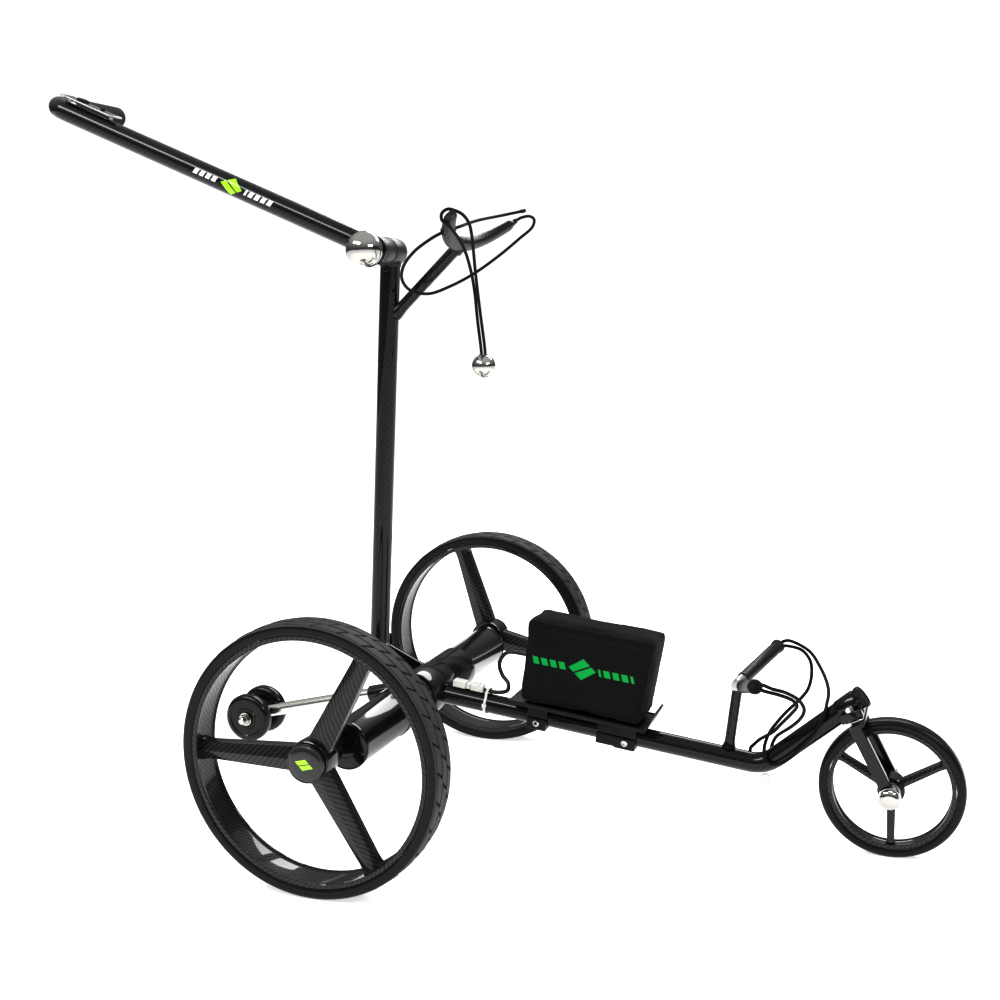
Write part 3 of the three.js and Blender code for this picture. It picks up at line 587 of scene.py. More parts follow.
def capFinish(name, centre):
    # polished black with a small lime lozenge in the middle of its face
    f = Finish(name, Roughness=0.3, Coat_Weight=0.6, Coat_Roughness=0.1)
    x, y, z = f.split(f.spot())
    hub = place(centre)
    a, b = x - hub[0], z - hub[2]
    fine, cloud = f.noise(900, 3), f.noise(30, 4)
    leaf = lozenge(a * 0.96 - b * 0.28, b * 0.96 + a * 0.28, 11 * mm, 6.5 * mm)
    black = f.blend(cloud, (0.006, 0.006, 0.007), (0.02, 0.02, 0.022))
    f.drive("Base Color", f.blend(leaf, black, (0.42, 0.8, 0.02)))
    f.drive("Roughness", 0.26 + fine * 0.12 + cloud * 0.08)
    f.bump(fine, 0.03, 0.4)
    return f.material


def brushedFinish(name, colour, rough, metallic=1.0, turn=(1, 40, 1)):
    # metal whose fine lines run one way
    f = Finish(name, Base_Color=(*colour, 1), Metallic=metallic, Roughness=rough)
    lines = f.node("ShaderNodeMapping", None, {0: f.spot(), "Scale": turn})
    grain, cloud = f.noise(60, 4, 0.6, lines), f.noise(25, 4)
    f.drive("Base Color", f.blend(grain * 0.5 + cloud * 0.5, tuple(c * 0.78 for c in colour), colour))
    f.drive("Roughness", rough + (grain - 0.5) * 0.14 + (cloud - 0.5) * 0.12)
    f.bump(grain, 0.02, 0.3)
    return f.material


finish = {
    "spokeWeave": wovenFinish("spokeWeave", (0.0015, 0.0015, 0.0015), (0.06, 0.06, 0.06), 0.42),
    "hoopWeave": wovenFinish("hoopWeave", (0.002, 0.002, 0.0025), (0.05, 0.052, 0.058), 0.38),
    "tubeWeave": wovenFinish("tubeWeave", (0.0015, 0.0015, 0.002), (0.015, 0.015, 0.016), 0.4),
    "handleWeave": wovenFinish("handleWeave", (0.0015, 0.0015, 0.002), (0.014, 0.014, 0.015), 0.4,
                               mark=handleMark),
    "lacquer": plainFinish("lacquer", (0.005, 0.005, 0.0055), 0.3, 300, 0.03, Coat_Weight=0.8,
                           Coat_Roughness=0.05,
                           Specular_IOR_Level=0.12),
    "moulded": plainFinish("moulded", (0.007, 0.007, 0.0075), 0.4, 800, 0.07, Specular_IOR_Level=0.3),
    "knuckle": plainFinish("knuckle", (0.036, 0.037, 0.04), 0.38, 900, 0.08, Specular_IOR_Level=0.5),
    "rubber": plainFinish("rubber", (0.011, 0.0115, 0.013), 0.42, 1000, 0.12, Specular_IOR_Level=0.4),
    "grip": plainFinish("grip", (0.017, 0.017, 0.018), 0.72, 1300, 0.2, Specular_IOR_Level=0.3),
    "roller": plainFinish("roller", (0.005, 0.005, 0.0055), 0.28, 500, 0.03, Coat_Weight=0.4,
                          Coat_Roughness=0.1,
                          Specular_IOR_Level=0.2),
    "cable": plainFinish("cable", (0.01, 0.01, 0.011), 0.4, 900, 0.04),
    "white": plainFinish("white", (0.72, 0.71, 0.67), 0.35, 700, 0.04, 0.08, Specular_IOR_Level=0.5),
    "milky": plainFinish("milky", (0.75, 0.76, 0.74), 0.25, 700, 0.03, 0.05, Alpha=0.7),
    "chrome": brushedFinish("chrome", chromeTint, 0.07, turn=(1, 1, 1)),
    "satin": brushedFinish("satin", (0.4, 0.4, 0.4), 0.3),
    "steelRod": brushedFinish("steelRod", (0.72, 0.7, 0.66), 0.2, turn=(30, 1, 1)),
    "braid": braidFinish("braid", (0.0025, 0.0025, 0.003), (0.014, 0.014, 0.015), 0.9),
    "nylon": nylonFinish("nylon"),
    "piping": braidFinish("piping", (0.006, 0.006, 0.006), (0.022, 0.022, 0.024), 0.7),
}
print("finishes mixed")


# cords and what they hang from

cordRoutes = {
    "upper_cord": [(112, 107.2, 734), (118, 110.5, 737.5), (128, 112, 739), (137, 105, 734), (137, 96, 724),
                   (125, 84, 711), (106, 60, 690), (83, 30, 668), (61, 4, 653), (44, -22, 645),
                   (30, -44, 650),
                   (27, -58, 662), (36, -72, 677), (54, -82, 692), (72, -86, 702.5), (83, -83, 709),
                   (93, -71.5, 714.8), (99.5, -58, 718.6), (98, -20, 725), (97, 20, 731), (104, 85, 740),
                   (124, 110, 746)],
    "right_elastic_loop": [(445.5, -94.5, 216.2), (452, -98.5, 217), (461, -98, 213.6), (473.9, -90, 208.3),
                           (486.1, -74, 196.2), (490.3, -56, 179.8), (483.9, -40, 163.9), (471, -24, 148.1),
                           (459.8, -10, 136.7), (452, 3, 127), (447, 12, 117), (443, 17, 105),
                           (438, 17.5, 94),
                           (430, 17, 89.5), (422, 16.5, 94), (420, 15.5, 105), (426, 9, 114), (434, 2, 123),
                           (441, -6, 129.5), (450.9, -14, 138.2), (461.9, -26, 152.8), (475, -42, 170.5),
                           (483, -60, 185.2), (479.2, -76, 196.2), (468.6, -90, 204.7), (452, -96, 210),
                           (446.2, -94.3, 211.4)],
    "left_elastic_loop": [(445.5, 94.5, 216.2), (452, 99, 217.3), (462, 99.5, 214.5), (479.7, 88, 207.9),
                          (493.9, 66, 196.3), (504.2, 42, 185.5), (508.6, 22, 177.6), (508.5, 4, 170.8),
                          (508, -10.5, 165), (504, -15.8, 153.5), (496, -15.5, 139.9), (485, -15.6, 126.3),
                          (472.1, -15.4, 111.3), (460.9, -15.4, 102.5), (449.6, -15.5, 99.5),
                          (441.6, -15.5, 105.5), (440, -10.5, 113), (440, -4, 119.3), (443.7, 10, 129.9),
                          (451.3, 24, 139.3), (459, 38, 146.8), (472.2, 56, 157.7), (480.2, 70, 167.6),
                          (482.6, 82, 182.9), (479.3, 92, 196.5), (468.7, 97, 207), (452, 96, 211.2),
                          (446.2, 94.3, 211.4)],
}
cradle = {"post": unit([math.cos(math.radians(42.6)), 0, math.sin(math.radians(42.6))]), "length": 132.5,
          "reach": 42, "half": 104, "r": 7.6, "mastZ": 613}
ballCentre = np.array([112.2, -22, 558.6])
postRoot = onMast((hinge[2] - cradle["mastZ"]) / mastUp[2])


def cradlePoint(y):
    # the cradle's middle line: out along the post by a length that grows with the 2.2 power of y
    y = np.asarray(y, float)
    out = cradle["length"] + cradle["reach"] * (np.abs(y) / cradle["half"]) ** 2.2
    return postRoot + out[..., None] * cradle["post"] + y[..., None] * np.array([0, 1, 0])


def ballRoute():
    # two strands from the ball, joined by a turn round the near end of the cradle
    run = unit(cradlePoint(-98.0) - cradlePoint(-96.0))
    side = np.array([cradle["post"][2], 0, -cradle["post"][0]])
    a = np.radians([-55, -105, -155, -205, -255])[:, None]
    over = np.cross(run, side)
    wrap = cradlePoint(-97.0) + 10.4 * (np.cos(a) * side + np.sin(a) * over)
    bx, by, bz = ballCentre
    up = [(bx - 2.3, by, bz + 14.6), (109.6, -22.5, 580), (107.6, -26, 612), (107, -32, 647),
          (108, -46, 672), (108, -68, 697)]
    down = [(116.5, -87, 730), (120.5, -79, 721), (120, -70, 709), (117, -58, 692), (112.8, -42, 666),
            (112.8, -31, 624), (114.4, -22.5, 580), (bx + 2.3, by, bz + 14.6)]
    return np.concatenate([up, wrap, down])


def leadRoute():
    # over the main tube, then a loop up into the back of the bag
    def overTube(x, lift):
        return (x, 0, mainRoot[2] - (x - mainRoot[0]) * math.tan(math.radians(mainDown)) + lift)

    entry = onDeck([132.5, 20, 66])[0]
    lifts = ((43, 15.6), (56, 15.6), (72, 15.6), (88, 15.6), (100, 15.8), (112, 16.6))
    tube = [overTube(x, lift) for x, lift in lifts]
    loop = [(122, 4, 156.5), (121, 11, 164), (112, 16, 172), (107, 19, 184), (111, 20, 195), (119, 20, 201),
            (entry[0] - 10, 20, entry[2] + 0.8), (entry[0] - 0.5, 20, entry[2])]
    return np.array(tube + loop)


def makeCord(name, route, r, body, finishName):
    line = evenly(smooth(route, 14), 1.6)
    shell = Shell().grid(sweep(line, roundSection(r, 14)), cell=1.6)
    obj = shell.build(name + "Braid", body, finish[finishName], [name], sharp=60)
    return obj


def makeCords():
    tip = np.asarray(cordRoutes["upper_cord"], float)
    run = unit(tip[-1] - tip[-2])
    ferrule = Shell().grid(lathe(tip[-1] - 7 * run, run,
                                 [(0, 2.1), (0.4, 2.4), (5, 2.4), (6.6, 2.2), (7.2, 1.2)], 20))
    ferrule = ferrule.build("cordFerrule", "mast", finish["moulded"])
    makeCord("upper_cord", cordRoutes["upper_cord"], 1.8, "mast", "braid")
    ball = Shell().grid(lathe(ballCentre, [0, 0, 1], domed(14, 36), 56))
    ball.grid(lathe(ballCentre, [0, 0, 1], [(13.2, 5.1), (14.1, 5), (14.35, 4.4)], 32))
    ball = ball.build("cordBallBright", "mast", finish["chrome"], ["cord_ball"])
    makeCord("ball_cord", ballRoute(), 1.8, "mast", "braid")
    for name in ("right_elastic_loop", "left_elastic_loop"):
        makeCord(name, cordRoutes[name], 2, "frame", "braid")
    makeCord("battery_lead", leadRoute(), 2.5, "frame", "cable")


makeCords()
print("cords laid")


# the three wheels

rearWheel = {"r": 152.5, "seat": 139.4, "hoop": 138.9, "half": 20.5, "y": 275, "blocks": 30, "groove": 1.5,
             "tilt": 0.8}


def treadDepth(angle, y, wheel):
    # how far the crown drops below its full radius: rows of leaning scales, each one rising along the
    # tyre, with
    # grooves at their edges and between the rows
    row = np.floor((y + 18) / 12)
    inRow = (y + 18) / 12 - row
    f = (angle / (2 * math.pi) * wheel["blocks"] + 0.5 * row + 0.3 * (inRow - 0.5)) % 1
    ends = np.clip((0.075 - np.minimum(f, 1 - f)) / 0.03, 0, 1)
    sides = np.clip((0.1 - np.minimum(inRow, 1 - inRow)) / 0.04, 0, 1)
    return wheel["groove"] * np.maximum(ends, sides) + wheel["tilt"] * (1 - f)


def makeRearTyre(side, name):
    w = rearWheel
    crownY = np.linspace(-17.9, 17.9, 61)
    crownR = w["r"] - 1.1 * (np.abs(crownY) / 18) ** 2.6
    wallY = np.array([18.6, 19.5, 20.1, 20.45, 20.5, 20.4, 20.45, 20.3, 19.9, 19.2])
    wallR = np.array([150.9, 150.1, 149.0, 147.6, 145.6, 144.9, 143.9, 142.0, 140.6, 139.6])
    y = np.concatenate([-wallY[::-1], crownY, wallY, [0]])
    r = np.concatenate([wallR[::-1], crownR, wallR, [w["seat"]]])
    angle = np.linspace(0, 2 * math.pi, 900, endpoint=False)
    a, yy = np.meshgrid(angle, y, indexing="ij")
    depth = treadDepth(a, yy, w) * (np.abs(yy) < 18)
    depth = depth * (np.arange(len(y)) < len(y) - 1)
    rr = r[None] - depth
    g = np.stack([rr * np.cos(a), yy + side * w["y"], w["r"] + rr * np.sin(a)], -1)
    rubber = tyreFinish(name + "TyreRubber", (0, side * w["y"], w["r"]), w["r"], 149.4)
    Shell().grid(g, ring=True, caps=False).build(name + "TyreTread", name + "_wheel", rubber,
                                                 [name + "_tyre"], 24)


def spokeGrid(centre, angle, radii, halfWidths, ridge, shoulder, bend=1.1):
    # a bar from the hub to the hoop whose six-sided section narrows outwards, with a ridge down each face
    out = np.array([math.cos(angle), 0, math.sin(angle)])
    over = np.array([-math.sin(angle), 0, math.cos(angle)])
    sections = [polygonSection([(0, ridge), (w, shoulder), (w, -shoulder), (0, -ridge), (-w, -shoulder),
                                (-w, shoulder)], bend)
                for w in halfWidths]
    g = np.stack(sections)
    axis = np.array([0, 1, 0])
    return centre + np.asarray(radii)[:, None, None] * out + g[..., :1] * over + g[..., 1:] * axis


def makeRearRim(side, name, firstTurn):
    w = rearWheel
    centre = np.array([0, side * w["y"], w["r"]])
    lip = [(-19.3, 138.9), (-19.45, 136.5), (-19.3, 134.4), (-18.6, 133.8), (-17.2, 133.9), (-16, 134.8),
           (-14.6, 135.5),
           (-12, 135.7), (0, 135.7)]
    lip = lip + [(-y, r) for y, r in lip[-2::-1]]
    g = lathe(centre, [0, 1, 0], lip, 240)
    hoop = Shell().grid(np.swapaxes(g, 0, 1), ring=True, caps=False, cell=1.6)
    hoop.build(name + "HoopWeave", name + "_wheel", finish["hoopWeave"], [name + "_rim"])
    radii = np.concatenate([[19.5, 22, 26], np.linspace(32, 126, 24), [130, 133, 135.8]])
    wide = np.interp(radii, [19, 32, 122, 130, 135.8], [14.2, 13.9, 10, 10.4, 12.6])
    spokes = Shell()
    for k in range(3):
        spokes.grid(spokeGrid(centre, math.radians(firstTurn + 120 * k), radii, wide, 10, 6.2), cell=1.7)
    spokes.build(name + "SpokeWeave", name + "_wheel", finish["spokeWeave"], sharp=25)
    outline = [(-15, 19.4), (-15, 22.4), (-14.2, 23.4), (-12, 24), (12, 24), (14.2, 23.4), (15, 22.4),
               (15, 19.4)]
    boss = Shell().grid(lathe(centre, [0, 1, 0], outline, 64))
    boss.build(name + "Boss", name + "_wheel", finish["lacquer"])


def makeRearHub(side, name):
    w = rearWheel
    centre = np.array([0, side * w["y"], w["r"]])
    out = np.array([0, side, 0])
    hub = Shell().grid(lathe(centre - 32 * out, out,
                             [(0, 12), (0, 17.6), (0.5, 18.6), (1.4, 19), (48, 19), (48, 12)], 56))
    hub.grid(lathe(centre - 35 * out, out, [(0, 9), (0, 12.8), (0.5, 13.4), (3.2, 13.4)], 32))
    hub.build(name + "HubBody", name + "_wheel", finish["lacquer"], [name + "_drive_hub"])
    shaft = Shell().grid(lathe(centre - 68 * out, out, [(0, 7), (0.8, 8), (34, 8)], 32))
    shaft.build(name + "Shaft", name + "_wheel", finish["satin"])
    face = [(16.4, 20), (16.4, 21.1), (16.9, 21.5), (19.4, 21.5), (20.2, 21.1), (20.5, 20.4), (20.3, 19.6),
            (20.8, 18.9),
            (21.6, 17.6), (22.4, 14), (22.8, 9), (22.95, 4), (23, 0.6)]
    badge = capFinish(name + "CapBlack", centre)
    Shell().grid(lathe(centre, out, face, 72)).build(name + "HubCapFace", name + "_wheel", badge,
                                                     [name + "_hub_cap"])


frontWheel = {"r": 80.3, "seat": 69.8, "half": 10.7}


def makeFrontWheel():
    w = frontWheel
    # tyre: round shoulders and one raised line on each side of the crown
    y = np.array([-9.4, -10.3, -10.7, -10.6, -10.1, -9.3, -8.6, -8.2, -7.4, -6, -3, 0])
    r = np.array([69.9, 71.2, 73.4, 75.4, 77.0, 78.3, 78.7, 79.3, 79.7, 80.0, 80.25, 80.3])
    y, r = np.concatenate([y, -y[-2::-1], [0]]), np.concatenate([r, r[-2::-1], [w["seat"]]])
    g = lathe(forkHub, [0, 1, 0], np.stack([y, r], -1), 200)
    rubber = tyreFinish("frontTyreRubber", forkHub, 80.3, 90)
    tyre = Shell().grid(np.swapaxes(g, 0, 1), ring=True, caps=False)
    tyre.build("frontTyreRing", "front_wheel", rubber, ["front_tyre"], 50)
    lip = [(-9.6, 69.4), (-9.7, 67), (-9.4, 65), (-8.6, 64.7), (-7.4, 65.2), (-6, 66.1), (0, 66.2)]
    lip = lip + [(-a, b) for a, b in lip[-2::-1]]
    hoop = Shell().grid(np.swapaxes(lathe(forkHub, [0, 1, 0], lip, 160), 0, 1), ring=True, caps=False,
                        cell=1.5)
    radii = np.concatenate([[11.4, 13], np.linspace(16, 62, 12), [64.5, 66]])
    wide = np.interp(radii, [11, 16, 60, 66], [5.2, 4.6, 4.0, 5.4])
    for k in range(3):
        hoop.grid(spokeGrid(forkHub, math.radians(30 + 120 * k), radii, wide, 6, 4.6, 0.7), cell=1.5)
    hoop.build("frontHoopWeave", "front_wheel", finish["hoopWeave"], ["front_rim"])
    boss = [(-12, 11.3), (-12, 14), (-11.2, 15), (11.2, 15), (12, 14), (12, 11.3)]
    Shell().grid(lathe(forkHub, [0, 1, 0], boss, 48)).build("frontBoss", "front_wheel", finish["lacquer"])
    hub = [(-25, 5.6), (-25, 8.6), (-24.4, 9.2), (-18, 9.2), (-17.6, 10.8), (17.6, 10.8), (18, 9.2),
           (24.4, 9.2), (25, 8.6), (25, 5.6)]
    barrel = Shell().grid(lathe(forkHub, [0, 1, 0], hub, 40))
    barrel.build("frontHubBarrel", "front_wheel", finish["satin"], ["front_hub"])


def makeWheels():
    for side, name, firstTurn in ((-1, "right", 60), (1, "left", 107)):
        makeRearTyre(side, name)
        makeRearRim(side, name, firstTurn)
        makeRearHub(side, name)
    makeFrontWheel()


makeWheels()
print("wheels turned")


# axle housing, bracket and anti-tip arm

axle = {"centre": np.array([12.0, 0, 150]), "r": 27, "half": 219, "sleeve": 28.5}


def makeAxle():
    c, r, s = axle["centre"], axle["r"], axle["sleeve"]
    right = [(-219, r - 0.5), (-218.5, r), (-106, r), (-105, r + 0.4), (-104.4, s), (-38.6, s),
             (-38, r + 0.4), (-37, r)]
    outline = right + [(-y, q) for y, q in right[::-1]]
    housing = Shell().grid(lathe(c, [0, 1, 0], outline, 96))
    housing.build("axleTubeBlack", "frame", finish["lacquer"],
                  ["axle_housing", "right_gear_motor", "left_gear_motor"])
    for side, name in ((-1, "right"), (1, "left")):
        out = np.array([0, side, 0])
        dome = [(219.3, 26.6), (219.5, 27.5), (222.6, 27.5), (223.4, 27.2), (224.2, 26.2), (224.9, 24),
                (225.4, 19), (225.7, 13.5),
                (224.6, 13), (224.6, 9)]
        cap = Shell().grid(lathe(c, out, dome, 72))
        cap.build(name + "CapDome", "frame", finish["lacquer"], [name + "_axle_cap"])
        screws = Shell()
        for turn in (105, 225, 345):
            a = math.radians(turn)
            at = c + np.array([21.5 * math.cos(a), side * 223.9, 21.5 * math.sin(a)])
            screws.grid(lathe(at, out, [(0, 2.3), (1.1, 2.3), (1.5, 1.9), (1.5, 1.0), (0.7, 0.9)], 20))
        screws.build(name + "CapScrews", "frame", finish["chrome"])
    collar = Shell().grid(lathe(c, [0, 1, 0], chamfered(68, 31, 1.2, -34), 96))
    for side in (-1, 1):
        y0, y1 = sorted((side * 12.6, side * 18.6))
        collar.grid(cheekGrid(y0, y1))
    tip = np.array([-232.5, 0, 100.4])
    along = unit(axle["centre"] + (0, 0, 6) - tip)
    socket = [(174, 8.3), (174, 10.4), (174.6, 11), (224, 11), (224, 8.3)]
    collar.grid(lathe(tip, along, socket, 40))
    collar.build("axleBracketBlack", "frame", finish["lacquer"], ["axle_bracket"])


def cheekGrid(y0, y1):
    # a side plate: the outline of a belt from the collar to the mast pivot, carried across with eased edges
    a, b = np.array([-2.0, 170]), pivot[[0, 2]]
    heading = math.atan2(b[1] - a[1], b[0] - a[0])
    spread = math.acos((12 - 13) / np.linalg.norm(b - a))

    def outline(inset):
        big = heading + np.linspace(spread, 2 * math.pi - spread, 30)
        tip = heading + np.linspace(-spread, spread, 16)
        one = a + (12 - inset) * np.stack([np.cos(big), np.sin(big)], -1)
        two = b + (13 - inset) * np.stack([np.cos(tip), np.sin(tip)], -1)
        return np.concatenate([one, two])

    stations = [(y0, 0.7), (y0 + 0.2, 0.2), (y0 + 0.7, 0), (y1 - 0.7, 0), (y1 - 0.2, 0.2), (y1, 0.7)]
    rings = [np.stack([o[:, 0], np.full(len(o), y), o[:, 1]], -1) for y,
             o in ((y, outline(d)) for y, d in stations)]
    return np.stack(rings)


def makeAntiTip():
    tip = np.array([-232.5, 0, 100.4])
    along = unit(axle["centre"] + (0, 0, 6) - tip)
    rod = Shell().grid(lathe(tip, along, [(7, 8), (213.2, 8), (214, 7.2)], 40))
    rod.grid(lathe(tip, [0, 1, 0], [(-11, 5.4), (-11, 9.4), (-10.4, 10), (10.4, 10), (11, 9.4), (11, 5.4)],
                   40))
    rod.build("antiTipRod", "anti_tip", finish["steelRod"], ["anti_tip_arm"])
    half = 8.5
    outline = [(-half + 1.6, 5.4), (-half + 1.6, 9.5), (-half, 10.4), (-half, 13.2), (-half + 1.5, 14.4),
               (-half + 1.7, 22),
               (-half + 0.4, 23.4), (-half + 0.2, 25.5), (-half + 1.2, 28.4), (-half + 3.2, 30.6),
               (-half + 5.4, 31.4)]
    outline = outline + [(-y, r) for y, r in outline[::-1]]
    for side, name in ((-1, "right"), (1, "left")):
        at = tip + (0, side * 20.5, 0)
        wheel = Shell().grid(lathe(at, [0, 1, 0], outline, 72))
        wheel.build(name + "RollerTread", "anti_tip_" + name + "_roller", finish["roller"],
                    ["anti_tip_" + name + "_wheel"])
    bolt = Shell().grid(lathe(tip, [0, 1, 0], [(-40.5, 3.2), (-39.6, 4.5), (-36, 4.7), (35, 4.7)], 28))
    bolt.grid(lathe(tip, [0, 1, 0], [(-29.2, 8.8), (-30.6, 8.8), (-30.6, 5.6)][::-1], 36))
    bolt.grid(lathe(tip, [0, 1, 0], [(-35.8, 4.8), (-35.8, 6.4), (-35, 7.2), (-31, 7.2), (-30.6, 6.6),
                                     (-30.6, 4.8)], 6))
    bolt.grid(lathe(tip, [0, 1, 0], [(29.2, 5), (29.2, 8.2), (34.2, 8.2), (34.9, 7.2), (34.9, 5)], 6))
    bolt.build("antiTipBoltBright", "anti_tip", finish["chrome"], ["anti_tip_bolt"])


makeAxle()
makeAntiTip()
print("axle and anti-tip wheels made")


# main tube and front fork

mainTube = {"r": 12, "corner": (439, 0, 92.7), "end": (545, 0, 181), "bend": 40}
mainAlong = unit([math.cos(math.radians(mainDown)), 0, -math.sin(math.radians(mainDown))])


def makeMainTube():
    t = mainTube
    path = evenly(rounded([mainRoot + 31 * mainAlong, t["corner"], t["end"]], t["bend"], 20), 5)
    tube = Shell().grid(sweep(path, roundSection(t["r"], 40), first=(0, 1, 0)), cell=2)
    tube.build("mainTubeWeave", "frame", finish["tubeWeave"], ["main_tube"])
    run = unit(np.array(t["end"]) - t["corner"])
    plug = Shell().grid(lathe(t["end"], run, [(0.3, 10), (0.3, 12.5), (0.9, 13), (4.8, 13), (5.7, 12.3),
                                              (6, 11.2), (4.9, 10.6), (4.7, 0.8)], 48))
    plug.build("mainTubePlug", "frame", finish["moulded"], ["main_tube_plug"])


def makeFork():
    half, blade, crown = 30, 9, 82.8
    fork = Shell()
    for side in (-1, 1):
        # each blade keeps one width up to the crown and ends in a round eye at the axle
        z = np.concatenate([6.75 * np.sin(np.linspace(-math.pi / 2, 0, 9)), np.linspace(2, crown + 4.2, 8)])
        wide = np.concatenate([2 * 6.75 * np.cos(np.linspace(-math.pi / 2, 0, 9)), np.full(8, 13.5)])
        wide = np.maximum(wide, 2.4)
        sections = np.stack([boxSection(blade, w, min(1.1, w / 2.2)) for w in wide])
        path = onFork(np.stack([z * 0, z * 0 + side * half, z], -1))
        side3, up3 = np.array([0, 1, 0]), unit(onFork([[1, 0, 0]])[0] - forkHub)
        fork.grid(path[:, None] + sections[..., :1] * side3 + sections[..., 1:] * up3)
    left, right = onFork([[3, -34.4, crown + 2.3], [3, 34.4, crown + 2.3]])
    fork.grid(slab(left, right, 16, 4.4, 1.0, onFork([[1, 0, 0]])[0] - forkHub))
    fork.build("forkBlack", "fork", finish["lacquer"], ["front_fork"])
    head = Shell()
    ahead = onFork([[1, 0, 0]])[0] - forkHub
    for side in (-1, 1):
        a, b = onFork([[-1, side * 12.6, 95.3], [-1, side * 23.9, 95.3]])
        head.grid(slab(a, b, 25.6, 10.2, 1.6, ahead))
        foot, top = onFork([[0, side * 18.6, 90.4], [0, side * 18.6, 100.6]])
        head.grid(lathe(foot, top - foot, chamfered(10.3, 7.6, 0.7), 32))
    run = unit(np.array(mainTube["end"]) - mainTube["corner"])
    saddle = np.array(mainTube["end"]) - 14 * run
    a, b = onFork([[5, -13, 91.4], [5, 13, 91.4]])
    head.grid(slab(a, b, 13, 2.4, 0.8, ahead))
    head.grid(lathe(saddle - 13 * run, run, chamfered(24, 13.1, 0.9), 48))
    head.build("forkHeadBlack", "frame", finish["lacquer"], ["fork_head_block"])
    trim = Shell()
    a, b = onFork([[0, -23.4, 88.8], [0, 23.4, 88.8]])
    trim.grid(slab(a, b, 20, 2, 0.5, ahead))
    for side in (-1, 1):
        foot, top = onFork([[0, side * 18.6, 100.8], [0, side * 18.6, 106.3]])
        trim.grid(lathe(foot, top - foot, [(0, 5), (0.2, 5.4), (4.4, 5.4), (5.2, 4.8), (5.5, 3.6),
                                           (5.5, 2.6), (3.4, 2.4), (3.4, 0.4)], 36))
    trim.build("trimPlateBright", "frame", finish["steelRod"], ["trim_plate"])
    hub = forkHub
    bolt = Shell().grid(lathe(hub, [0, 1, 0], [(-46, 3.4), (-45.8, 6.2), (-44.9, 9), (-43.4, 10.6),
                                               (-41.6, 11), (-39.2, 11), (-39, 10)], 48))
    bolt.grid(lathe(hub, [0, 1, 0], [(-39, 10), (-38.9, 12.2), (-35.1, 12.4), (-34.8, 11.6), (-34.8, 6)],
                    48))
    bolt.grid(lathe(hub, [0, 1, 0], [(-34.8, 5), (42, 5)], 28))
    bolt.grid(lathe(hub, [0, 1, 0], [(34.8, 5), (34.8, 8.4), (41.4, 8.4), (42, 7.6), (42, 5)], 6))
    bolt.build("frontAxleBright", "fork", finish["chrome"], ["front_axle_bolt"])


makeMainTube()
makeFork()
print("main tube and fork made")


# lower cradle

lowCradle = {"foot": (396, 0, 98.6), "apex": np.array([405, 0, 184.5]), "tip": (446, 101, 215.5),
             "rod": 6.4}


def makeLowCradle():
    low = lowCradle
    foot, top = np.array(low["foot"], float), np.array([407, 0, 178.2])
    up = unit(top - foot)
    outline = [(12, 8.4), (14, 7.7), (17, 6.6), (20, 6.1), (23, 6), (82.5, 6), (84, 5)]
    post = Shell().grid(lathe(foot, up, outline, 40), cell=3)
    post.build("lowPostWeave", "frame", finish["tubeWeave"], ["lower_post"])
    arms = {side: unit(np.array([low["tip"][0], side * low["tip"][1],
                                 low["tip"][2]]) - low["apex"]) for side in (-1, 1)}
    ends = [low["apex"] + 98 * arms[side] for side in (-1, 1)]
    path = evenly(rounded([ends[0], low["apex"], ends[1]], 14, 14), 3)
    rod = Shell().grid(sweep(path, roundSection(low["rod"], 28)))
    rod.build("lowRodSatin", "frame", finish["satin"], ["lower_cradle_rod"])
    for side, name, start in ((-1, "right", 42), (1, "left", 18)):
        outline = [(start, 6.5), (start + 0.1, 7.2), (start + 0.8, 7.7), (start + 3.5, 7.7),
                   (start + 4.2, 7.4), (96, 7.4), (97, 7.8), (98, 8.4), (102, 8.4), (102.8, 7.8),
                   (103, 6.6), (102.2, 6), (102.2, 0.8)]
        sleeve = Shell().grid(lathe(low["apex"], arms[side], outline, 40))
        sleeve.build(name + "SleeveRubber", "frame", finish["rubber"], ["lower_" + name + "_sleeve"])
    link = np.array([440, 0, 77])
    a = np.linspace(0, 2 * math.pi, 40, endpoint=False)
    path = link + 4.7 * np.stack([np.cos(a), 0 * a, np.sin(a)], -1)
    ring = np.stack([np.cos(a), 0 * a, np.sin(a)], -1)
    b = np.linspace(0, 2 * math.pi, 14, endpoint=False)
    c, s = np.cos(b)[None, :, None], np.sin(b)[None, :, None]
    wire = path[:, None] + 1.25 * (c * ring[:, None] + s * np.array([0, 1, 0]))
    hook = Shell().grid(wire, ring=True, caps=False)
    hook.build("cordHookMilky", "frame", finish["milky"], ["cord_hook"])


makeLowCradle()
print("lower cradle made")


# tray, bag and connectors

deck = {"bag": (132.5, 288, 32, 21.4, 128.5), "lean": 7, "swell": 4.5}


def bagStart():
    # the pouch before it fills: a box with softly rounded edges, a little under its full size
    x0, x1, half, z0, z1 = deck["bag"]
    mid, tall = (x0 + x1) / 2, (z0 + z1) / 2
    a, b = onDeck([[mid, -half + 2.2, tall], [mid, half - 2.2, tall]])
    along = onDeck([[1, 0, 0]])[0] - mainRoot
    return slab(a, b, x1 - x0 - 4, z1 - z0 - 3, 8, along, 6)


